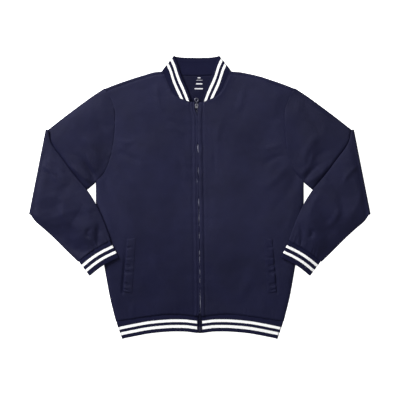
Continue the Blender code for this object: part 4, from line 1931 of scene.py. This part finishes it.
class Nodes:
    """Shorthand for building a material's nodes."""

    def __init__(self, name: str) -> None:
        """Start a material with a Principled shader.

        Args:
            name: the material's name.
        """
        self.material = bpy.data.materials.new(name)
        self.material.use_nodes = True
        self.tree = self.material.node_tree
        self.shader = self.tree.nodes["Principled BSDF"]

    def add(self, kind: str, inputs: dict[str | int, object] | None = None,
            **settings: object) -> bpy.types.Node:
        """Add a node, and set its properties and its inputs.

        Args:
            kind: the node's type.
            inputs: a value or a socket for each input's name or number.
            settings: its properties.

        Returns:
            The node.
        """
        node = self.tree.nodes.new(kind)
        for key, value in settings.items():
            setattr(node, key, value)
        self.feed(node, inputs or {})
        return node

    def feed(self, node: bpy.types.Node, inputs: dict[str | int, object]) -> None:
        """Set a node's inputs, or join them to sockets.

        Args:
            node: the node.
            inputs: a value or a socket for each input's name or number.
        """
        for key, given in inputs.items():
            if isinstance(given, Socket):
                self.tree.links.new(given, node.inputs[key])
            else:
                node.inputs[key].default_value = given

    def value(self, operation: str, a: object, b: object = 0.0) -> Socket:
        """Result of a math operation on one or two values or sockets."""
        return self.add("ShaderNodeMath", {0: a, 1: b}, operation=operation).outputs[0]

    def place(self) -> Socket:
        """A point's place in the jacket's frame, in metres."""
        return self.add("ShaderNodeTexCoord").outputs["Object"]

    def coordinate(self, axis: int, place: Socket | None = None) -> Socket:
        """One coordinate of a point's place, or of another."""
        return self.add("ShaderNodeSeparateXYZ", {0: place or self.place()}).outputs[axis]

    def cloth_uv(self) -> tuple[Socket, Socket]:
        """The piece's own place on the flat cloth, in metres."""
        uv = self.add("ShaderNodeUVMap", uv_map="cloth").outputs[0]
        return self.coordinate(0, uv), self.coordinate(1, uv)

    def noise(self, scale: float, detail: float = 2.0) -> Socket:
        """Noise in the piece's own space."""
        inputs = {"Scale": scale, "Detail": detail, "Vector": self.place()}
        return self.add("ShaderNodeTexNoise", inputs).outputs[0]

    def mix(self, first: object, second: object, share: object, blend: str = "MIX") -> Socket:
        """Two colours blended by a share of the second, each a value or a socket."""
        inputs = {6: first, 7: second, "Factor": share}
        return self.add("ShaderNodeMix", inputs, data_type="RGBA", blend_type=blend).outputs[2]

    def map_range(self, value: Socket, source: Pair, target: Pair = (0.0, 1.0),
                  way: str = "SMOOTHSTEP") -> Socket:
        """Bring a value from one range to another.

        Args:
            value: the value.
            source: its range.
            target: the range to bring it to.
            way: how it runs between the two ends.

        Returns:
            The new value's socket.
        """
        names = ("From Min", "From Max", "To Min", "To Max")
        inputs = {"Value": value, **dict(zip(names, source + target))}
        return self.add("ShaderNodeMapRange", inputs, interpolation_type=way).outputs[0]

    def bump(self, height: Socket, distance: float, strength: float = 1.0) -> None:
        """Add a bump to whatever bump the shader already has.

        Args:
            height: the bump's height.
            distance: how far it reaches.
            strength: how strong it is.
        """
        inputs = {"Strength": strength, "Distance": distance, "Height": height}
        normal = self.shader.inputs["Normal"]
        if normal.is_linked:
            inputs["Normal"] = normal.links[0].from_socket
        self.feed(self.shader, {"Normal": self.add("ShaderNodeBump", inputs).outputs[0]})


class Finish:
    """A finish: one material, put on every piece that is dressed in it."""

    def __init__(self, nodes: Nodes) -> None:
        """Keep the finished material."""
        self.material = nodes.material

    def dress(self, obj: Piece) -> None:
        """Give a piece this finish alone."""
        obj.data.materials.clear()
        obj.data.materials.append(self.material)


@dataclass(frozen=True)
class ClothLook:
    """Colour and weave of a cloth, and the shade painted into its colour."""

    name: str
    colour: Colour
    roughness: float = 0.6
    thread: float = 0.55 * MM
    weave_depth: float = 0.05 * MM
    specular: float = 0.12
    neck_shade: Colour | None = None  # painted shade on the inner face of the back, in the neck
    hem_shade: Colour = (0.0044, 0.0049, 0.0238)  # painted shade: darker toward the hem, where the light falls off
    # heights up the jacket, in metres, over which the painted shade fades into the cloth's colour
    waist: Pair = (-0.26, -0.04)
    mottle: float = 38.0  # scales of the noises in its colour and its nap
    patches: float = 9.0
    nap: float = 420.0

    def inside(self, nodes: Nodes) -> Socket:
        """1 on the inner face of the back in the neck, where shade is painted, 0 elsewhere.

        Args:
            nodes: the material's nodes.

        Returns:
            The mask's socket.
        """
        from_middle = nodes.value("SUBTRACT", nodes.coordinate(0), Cut.NECK_LEAN)
        near = nodes.value("LESS_THAN", nodes.value("ABSOLUTE", from_middle), 94 * MM)
        above = nodes.value("GREATER_THAN", nodes.coordinate(2), CLOTH * 0.6)
        return nodes.value("MULTIPLY", above, near)

    def finish(self) -> Finish:
        """Build the cloth's material: a slightly uneven colour, with painted shade toward the hem, on
        a fine, close weave.

        Returns:
            The finish.
        """
        nodes = Nodes(self.name)
        u, v = nodes.cloth_uv()
        mottled = nodes.map_range(nodes.noise(self.mottle, 3), (0, 1), (0.9, 1.1))
        broad = nodes.map_range(nodes.noise(self.patches, 1), (0.3, 0.7), (0.92, 1.08))
        # painted shade: the colour darkens toward the hem
        up_jacket = nodes.map_range(nodes.coordinate(1), self.waist)
        ground = nodes.mix((*self.hem_shade, 1), (*self.colour, 1), up_jacket)
        # painted shade on the inner face of the back, in the neck
        if self.neck_shade is not None:
            ground = nodes.mix(ground, (*self.neck_shade, 1), self.inside(nodes))
        tint = nodes.mix(ground, nodes.value("MULTIPLY", mottled, broad), 1, "MULTIPLY")
        nodes.feed(nodes.shader, {"Base Color": tint, "Roughness": self.roughness,
                                  "Specular IOR Level": self.specular})
        weft = nodes.value("MULTIPLY", v, 2 * pi / self.thread)
        diagonal = nodes.value("ADD", nodes.value("MULTIPLY", u, 2 * pi / self.thread),
                               nodes.value("MULTIPLY", v, pi / self.thread))
        weave = nodes.value("ADD", nodes.value("SINE", diagonal), nodes.value("SINE", weft))
        nodes.bump(weave, self.weave_depth)
        nodes.bump(nodes.noise(self.nap, 3), 0.25 * MM, 0.35)
        return Finish(nodes)


class Stripes(Enum):
    """Where each band's knitted stripes start and end, from its free edge, in millimetres."""

    COLLAR = (7.0, 14.8, 23.7, 31.5)
    HEM = (9.4, 17.4, 26.0, 33.3)
    CUFF = (12.9, 20.1, 30.2, 37.5)


@dataclass(frozen=True)
class RibLook:
    """Colours of a striped rib."""

    name: str
    stripes: Stripes
    ground: Colour = (0.0060, 0.0065, 0.0250)
    stripe: Colour = (0.88, 0.88, 0.88)
    span: float = 60.0
    turned_in: float = 1.4 * MM  # plain knit at a band's ends, beside the zip
    loop: float = 1.3 * MM
    wale: float = 0.65 * MM

    def finish(self) -> Finish:
        """Build the rib's material: stripes along the band and the fine loops of the knit.

        Returns:
            The finish.
        """
        nodes = Nodes(self.name)
        u, v = nodes.cloth_uv()
        wander = nodes.value("SUBTRACT", nodes.noise(300), 0.5)
        wander = nodes.value("MULTIPLY", wander, 1.2 * MM)
        place = nodes.value("DIVIDE", nodes.value("ADD", v, wander), self.span * MM)
        place = nodes.value("ADD", place, nodes.value("LESS_THAN", u, self.turned_in))
        ramp = nodes.add("ShaderNodeValToRGB", {0: place})
        ramp.color_ramp.interpolation = "CONSTANT"
        elements = ramp.color_ramp.elements
        elements[0].color = (*self.ground, 1)
        elements[1].position = self.stripes.value[0] / self.span
        elements[1].color = (*self.stripe, 1)
        for i, edge in enumerate(self.stripes.value[1:]):
            element = elements.new(edge / self.span)
            element.color = (*(self.ground if i % 2 == 0 else self.stripe), 1)
        nodes.feed(nodes.shader, {"Base Color": ramp.outputs[0], "Roughness": 0.9,
                                  "Specular IOR Level": 0.1})
        loops = nodes.value("SINE", nodes.value("MULTIPLY", v, 2 * pi / self.loop))
        wales = nodes.value("SINE", nodes.value("MULTIPLY", u, 2 * pi / self.wale))
        nodes.bump(nodes.value("ADD", loops, wales), 0.06 * MM)
        nodes.bump(nodes.noise(900, 2), 0.2 * MM, 0.3)
        return Finish(nodes)


@dataclass(frozen=True)
class ChainLook:
    """The zip's metal, with painted light: dark painted shade where the tapes shade it, a bright
    painted glint down the middle.
    """

    name: str
    # painted shade at both ends of the chain, and a painted glint between
    shade_colour: Colour = (0.024, 0.025, 0.055)
    glint_colour: Colour = (0.52, 0.53, 0.7)
    roughness: float = 0.35
    # where the painted shade at the foot gives way to the painted glint
    low: Pair = (-322 * MM, -308 * MM)
    # where the painted glint gives way to the painted shade at the top
    high: Pair = (150 * MM, 185 * MM)
    top_shade: float = 0.9

    def finish(self) -> Finish:
        """Build the metal's material.

        Returns:
            The finish.
        """
        nodes = Nodes(self.name)
        y = nodes.coordinate(1)
        shaded = nodes.value("MULTIPLY", nodes.map_range(y, self.high), self.top_shade)
        # painted glint down the middle, painted shade at both ends
        glint_share = nodes.value("SUBTRACT", nodes.map_range(y, self.low), shaded)
        tint = nodes.mix((*self.shade_colour, 1), (*self.glint_colour, 1), glint_share)
        nodes.feed(nodes.shader, {"Base Color": tint, "Metallic": 1, "Roughness": self.roughness})
        return Finish(nodes)


@dataclass(frozen=True)
class PlainLook:
    """A plain finish for metal, the dark stop, thread, print and the floor."""

    name: str
    colour: Colour
    roughness: float
    metallic: float = 0.0
    specular: float = 0.5
    glow: float = 0.0

    def finish(self) -> Finish:
        """Build the material, its roughness a little uneven.

        Returns:
            The finish.
        """
        nodes = Nodes(self.name)
        rough = (self.roughness * 0.85, min(1.0, self.roughness * 1.15))
        rough = nodes.map_range(nodes.noise(600), (0.0, 1.0), rough, "LINEAR")
        nodes.feed(nodes.shader, {"Base Color": (*self.colour, 1), "Metallic": self.metallic,
                                  "Specular IOR Level": self.specular, "Roughness": rough})
        if self.glow:
            nodes.feed(nodes.shader, {"Emission Color": (1, 1, 1, 1),
                                      "Emission Strength": self.glow})
        return Finish(nodes)


class Finishes:
    """All the jacket's finishes."""

    NAVY = (0.0078, 0.0083, 0.0302)
    # painted shade: the shell's navy made darker for the sleeves, which are the same cloth
    SLEEVE_SHADED_NAVY = (0.0066, 0.0070, 0.0268)
    # painted shade for the inner face of the back in the neck, darker than the shell
    NECK_SHADE = (0.0014, 0.0018, 0.0175)
    # a lighter navy than the shell, made lighter still as painted light where the fronts' edges shade
    # the tape
    TAPE = (0.022, 0.023, 0.058)

    def __init__(self) -> None:
        """Build every material once."""
        self.shell = ClothLook("shell_cloth", self.NAVY).finish()
        # the sleeves' cloth, with its painted shade
        self.sleeve = ClothLook("sleeve_cloth", self.SLEEVE_SHADED_NAVY).finish()
        # the back's cloth, with painted shade on its inner face in the neck
        self.back = ClothLook("shell_cloth_neck_shade", self.NAVY, neck_shade=self.NECK_SHADE).finish()
        self.tape = ClothLook("woven_tape", self.TAPE, 0.8, 0.8 * MM, 0.12 * MM).finish()
        self.collar = RibLook("rib_collar", Stripes.COLLAR).finish()
        self.hem = RibLook("rib_hem", Stripes.HEM).finish()
        self.cuff = RibLook("rib_cuff", Stripes.CUFF).finish()
        # the teeth, with a painted glint and painted shade along the zip
        self.teeth = ChainLook("zip_teeth_metal").finish()
        # dark navy, as dark as the gap between the hem bands
        self.stop = PlainLook("zip_stop_navy", (0.012, 0.012, 0.03), 0.5, specular=0.2).finish()
        self.metal = PlainLook("zip_metal", (0.34, 0.34, 0.39), 0.3, metallic=1.0).finish()
        # painted shade: the slider's metal made darker for the pull tab
        self.tab = PlainLook("tab_metal", (0.13, 0.13, 0.17), 0.3, metallic=1.0).finish()
        self.thread = PlainLook("thread", (0.017, 0.018, 0.04), 0.6).finish()
        self.print = PlainLook("neck_print", (0.55, 0.55, 0.58), 0.7).finish()


# ---- studio


@dataclass(frozen=True)
class Lamp:
    """A soft square light that looks at the jacket."""

    name: str
    place: Place
    size: float  # its width in metres
    power: float  # in watts

    def build(self) -> None:
        """Hang the light."""
        drop_selection()
        turn = Vector(self.place).to_track_quat("Z", "Y").to_euler()
        bpy.ops.object.light_add(type="AREA", location=self.place, rotation=turn)
        lamp = bpy.context.object
        lamp.name = self.name
        lamp.data.size = self.size
        lamp.data.energy = self.power


class Studio:
    """Floor, lights and camera."""

    FLOOR = PlainLook("floor_white", (0.9, 0.9, 0.9), 0.9, glow=1.0)  # so it shows no shadows
    FLOOR_SIZE = 8
    FLOOR_Z = -0.5 * MM
    AMBIENT = 0.48
    LAMPS = (Lamp("key_light", (-2.3, 2.0, 1.65), 1.3, 214),
             Lamp("fill_light", (1.8, -1.2, 2.4), 2.6, 10))
    CAMERA = (0.55 * MM, -7.7 * MM, 2.606)
    LENS, SENSOR = 85, 36

    def build(self) -> None:
        """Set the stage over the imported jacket."""
        self.floor()
        for lamp in self.LAMPS:
            lamp.build()
        self.world()
        self.camera()
        bpy.context.scene.view_settings.view_transform = "Standard"

    def floor(self) -> None:
        """A plain white surface under the jacket."""
        drop_selection()
        bpy.ops.mesh.primitive_plane_add(size=self.FLOOR_SIZE, location=(0, 0, self.FLOOR_Z))
        floor = bpy.context.object
        floor.name = "floor"
        self.FLOOR.finish().dress(floor)
        floor.visible_diffuse = False  # its glow doesn't light the cloth's edges from below
        floor.visible_glossy = False

    def world(self) -> None:
        """Even white light from all round."""
        world = bpy.data.worlds.new("studio")
        world.use_nodes = True
        background = world.node_tree.nodes["Background"]
        background.inputs["Color"].default_value = (1, 1, 1, 1)
        background.inputs["Strength"].default_value = self.AMBIENT
        bpy.context.scene.world = world

    def camera(self) -> None:
        """A camera straight over the jacket."""
        drop_selection()
        bpy.ops.object.camera_add(location=self.CAMERA, rotation=(0, 0, 0))
        camera = bpy.context.object
        camera.name = "camera"
        camera.data.lens = self.LENS
        camera.data.sensor_width = self.SENSOR
        bpy.context.scene.camera = camera


# ---- the folds, laid in


class Folds:
    """Every piece's folds, swells and ripples, in millimetres of the laid plan."""

    FRONT_LEFT = (
        Swell(270, 58, 18, 26, -5.0), Fold(288, 38, 258, 72, 5, -3.2, 2),
        Swell(112, -228, 75, 85, -3.2), Swell(152, 130, 55, 75, -2.7), Swell(85, 30, 55, 110, 2.2),
        Swell(215, -40, 45, 120, 1.6), Swell(60, -130, 40, 80, 1.4), Swell(190, 250, 45, 40, 2.0),
        Fold(246, 92, 175, 25, 11, 1.8, 5), Fold(236, 118, 170, 85, 9, -1.6, -4),
        Fold(232, 150, 180, 135, 7, 1.1, 3), Fold(262, 55, 205, -35, 12, -1.5, 6),
        Fold(268, -20, 238, -90, 10, 1.2, -3), Fold(150, -190, 95, -290, 15, 1.4, 8),
        Fold(60, 210, 45, 120, 9, 1.1, -4), Fold(40, 150, 36, 60, 7, -0.9, 3),
        Fold(120, 300, 100, 235, 10, 1.1, 5), Fold(176, -300, 168, -335, 7, 1.2),
        Ripple(95, 0.47, 3), Ripple(34, 0.14, 5))
    FRONT_RIGHT = (
        Swell(-270, 58, 18, 26, -5.0), Fold(-288, 40, -260, 70, 5, -3.4, -2),
        Swell(-96, -180, 70, 80, -3.0), Swell(-140, 110, 60, 85, 2.3), Swell(-60, 10, 40, 110, -1.6),
        Swell(-205, -60, 45, 120, 1.8), Swell(-170, 240, 50, 45, 1.9), Swell(-70, -290, 45, 35, 1.4),
        Fold(-246, 95, -180, 30, 10, 1.6, -5), Fold(-234, 125, -172, 96, 9, -1.6, 4),
        Fold(-232, 158, -185, 150, 7, 1.2, -3), Fold(-264, 50, -215, -50, 12, -1.4, -6),
        Fold(-86, 214, -50, 188, 7, -1.2, 4), Fold(-80, 196, -36, 176, 6, 1.1, -3),
        Fold(-266, -30, -240, -100, 10, 1.1, 3), Fold(-130, -150, -75, -250, 14, 1.2, -8),
        Fold(-45, 120, -40, 30, 8, 0.9, 4), Fold(-180, -290, -190, -333, 8, 1.1),
        Fold(-118, 305, -104, 240, 10, 1.2, -5), Ripple(88, 0.47, 11), Ripple(31, 0.14, 13))
    BACK = (Swell(-9, 290, 45, 30, 0.8), Fold(-45, 262, 20, 300, 9, 0.7, 4), Ripple(60, 0.2, 17))
    SLEEVE_LEFT = SleeveForm(
        upper=(Swell(315, 205, 45, 55, 2.7), Fold(268, 110, 272, 225, 20, -2.2, 4),
               Fold(288, 46, 330, 92, 5, -4.2, 3), Fold(300, 42, 348, 76, 5, 3.6, -3),
               Fold(282, 64, 312, 114, 6, 3.0, -4), Fold(282, 95, 330, 175, 11, 2.7, 6),
               Fold(290, 70, 350, 130, 9, -2.4, 5), Fold(300, 45, 370, 95, 9, 2.0, 5),
               Fold(305, 262, 370, 215, 12, 1.7, -4), Fold(280, 250, 330, 170, 10, -1.5, 5),
               Ripple(70, 0.59, 19), Ripple(28, 0.17, 21)),
        fore=(Swell(345, -95, 30, 35, -3.7), Fold(279, -82, 276, -138, 6.5, -3.4, 2),
              Fold(305, -88, 305, -112, 6.5, -3.1, 3), Fold(382, -32, 352, -82, 9, 3.1, 4),
              Fold(434, 86, 394, 42, 6, 2.4, -5), Fold(420, 150, 452, 60, 12, -2.0, 6),
              Fold(352, 60, 398, -60, 14, -2.0, 8), Fold(330, 10, 300, -50, 10, 1.9, -4),
              Fold(445, 20, 410, -60, 9, 1.5, 4), Ripple(66, 0.68, 23), Ripple(26, 0.20, 25)))
    SLEEVE_RIGHT = SleeveForm(
        upper=(Swell(-312, 200, 45, 55, 2.9), Fold(-268, 120, -272, 230, 20, -2.2, -4),
               Fold(-286, 48, -328, 98, 5, -4.2, -3), Fold(-298, 42, -346, 82, 5, 3.6, 3),
               Fold(-282, 68, -308, 120, 6, 2.8, 4), Fold(-280, 90, -322, 168, 11, 2.5, -6),
               Fold(-292, 64, -346, 120, 9, -2.5, -5), Fold(-300, 44, -372, 88, 9, 1.9, -5),
               Fold(-310, 258, -365, 214, 12, 1.5, 4), Ripple(72, 0.59, 29), Ripple(28, 0.17, 31)),
        fore=(Swell(-344, -136, 32, 28, -4.1), Fold(-279, -80, -277.5, -138, 6.5, -3.6, -2),
              Fold(-305, -88, -305, -112, 6.5, -3.2, -3), Fold(-382, -32, -352, -80, 9, 3.2, -4),
              Fold(-434, 88, -392, 44, 6, 2.3, 5), Fold(-420, 70, -372, 40, 5, -1.6, 4),
              Fold(-425, 140, -448, 50, 12, -1.9, -6), Fold(-350, 50, -400, -50, 14, -2.0, -8),
              Fold(-332, 8, -302, -52, 10, 1.7, 4), Ripple(64, 0.68, 37), Ripple(26, 0.20, 39)))
    COLLAR = (Ripple(80, 0.5, 41, 6),)
    HEM = (Ripple(75, 0.45, 43, 6), Ripple(24, 0.12, 45))
    CUFF = (Ripple(60, 0.3, 47, 6),)


# ---- the jacket


class BodyShell:
    """The back, the two fronts, their welts, stitches and neck print."""

    EDGES = {Side.LEFT: 2.6 * MM, Side.RIGHT: -2.4 * MM}  # from the zip's middle line
    STITCHED = (-322 * MM, 250 * MM)

    def __init__(self) -> None:
        """Set up the panels' forms."""
        self.fronts = {Side.LEFT: FrontForm(Side.LEFT, Folds.FRONT_LEFT, pocket_depth=0.4),
                       Side.RIGHT: FrontForm(Side.RIGHT, Folds.FRONT_RIGHT)}
        self.back = BackPanel(Folds.BACK)

    def build(self, finishes: Finishes) -> None:
        """Make every piece of the body.

        Args:
            finishes: the jacket's finishes.
        """
        self.back.build(finishes.back)
        for side, form in self.fronts.items():
            FrontPanel(side, form, self.EDGES[side]).build(finishes.shell)
            Welt(side, form).build(finishes.shell)
            self.stitch(side, form, finishes.thread)
        NeckPrint(self.back).build(finishes.print)

    def stitch(self, side: Side, form: FrontForm, thread: Finish) -> None:
        """Topstitch a front's zip edge.

        Args:
            side: the front's side.
            form: the front's form.
            thread: the thread's finish.
        """
        y = np.linspace(*self.STITCHED, 400)
        plan = np.stack((zip_x(y) + side.value * (Cut.ZIP_SLOT + form.placket), y), axis=1)
        line = with_height(plan, form.height(plan) + CLOTH / 2 + 0.08 * MM)
        Stitches().build(f"stitches_{side.word}", line, thread)


class Sleeves:
    """Both sleeves and their cuffs."""

    FORMS = {Side.LEFT: Folds.SLEEVE_LEFT, Side.RIGHT: Folds.SLEEVE_RIGHT}

    def build(self, finishes: Finishes, fronts: dict[Side, FrontForm]) -> None:
        """Make the sleeves and the cuffs.

        Args:
            finishes: the jacket's finishes.
            fronts: the forms of the fronts that the sleeves are sewn to.
        """
        for side, form in self.FORMS.items():
            Sleeve(side, form, fronts[side]).build(finishes.sleeve)
            Cuff(side, Folds.CUFF).build(finishes.cuff)


class RibBands:
    """The collar and the hem."""

    COLLAR = Band("collar_rib", "collar", (Cut.NECKLINE, Cut.COLLAR_EDGE),
                  (Cut.BACK_NECK, Cut.COLLAR_BACK_EDGE), (0.5, 0.05), Folds.COLLAR, hem=False)
    HEM = Band("hem_rib_knit", "hem_rib", (Cut.HEM_SEAM, Cut.HEM_EDGE),
               (Cut.HEM_SEAM, Cut.HEM_EDGE), (0.925, 0.047), Folds.HEM, hem=True)

    def build(self, finishes: Finishes) -> None:
        """Make both bands."""
        self.COLLAR.build(finishes.collar)
        self.HEM.build(finishes.hem)


class Zip:
    """Tapes, teeth and metal parts."""

    def build(self, finishes: Finishes) -> None:
        """Make the zip.

        Args:
            finishes: the jacket's finishes.
        """
        for side in Side:
            ZipTape(side).build(finishes.tape)
        Teeth().build(finishes.teeth)
        Stop().build(finishes.stop)
        Slider().build(finishes.metal)
        PullTab().build(finishes.tab)


def main() -> None:
    """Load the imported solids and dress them."""
    logging.basicConfig(level=logging.INFO)
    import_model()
    drop_selection()
    finishes = Finishes()
    body = BodyShell()
    body.build(finishes)
    Sleeves().build(finishes, body.fronts)
    RibBands().build(finishes)
    Zip().build(finishes)
    Studio().build()
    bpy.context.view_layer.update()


if __name__ == "__main__":
    main()
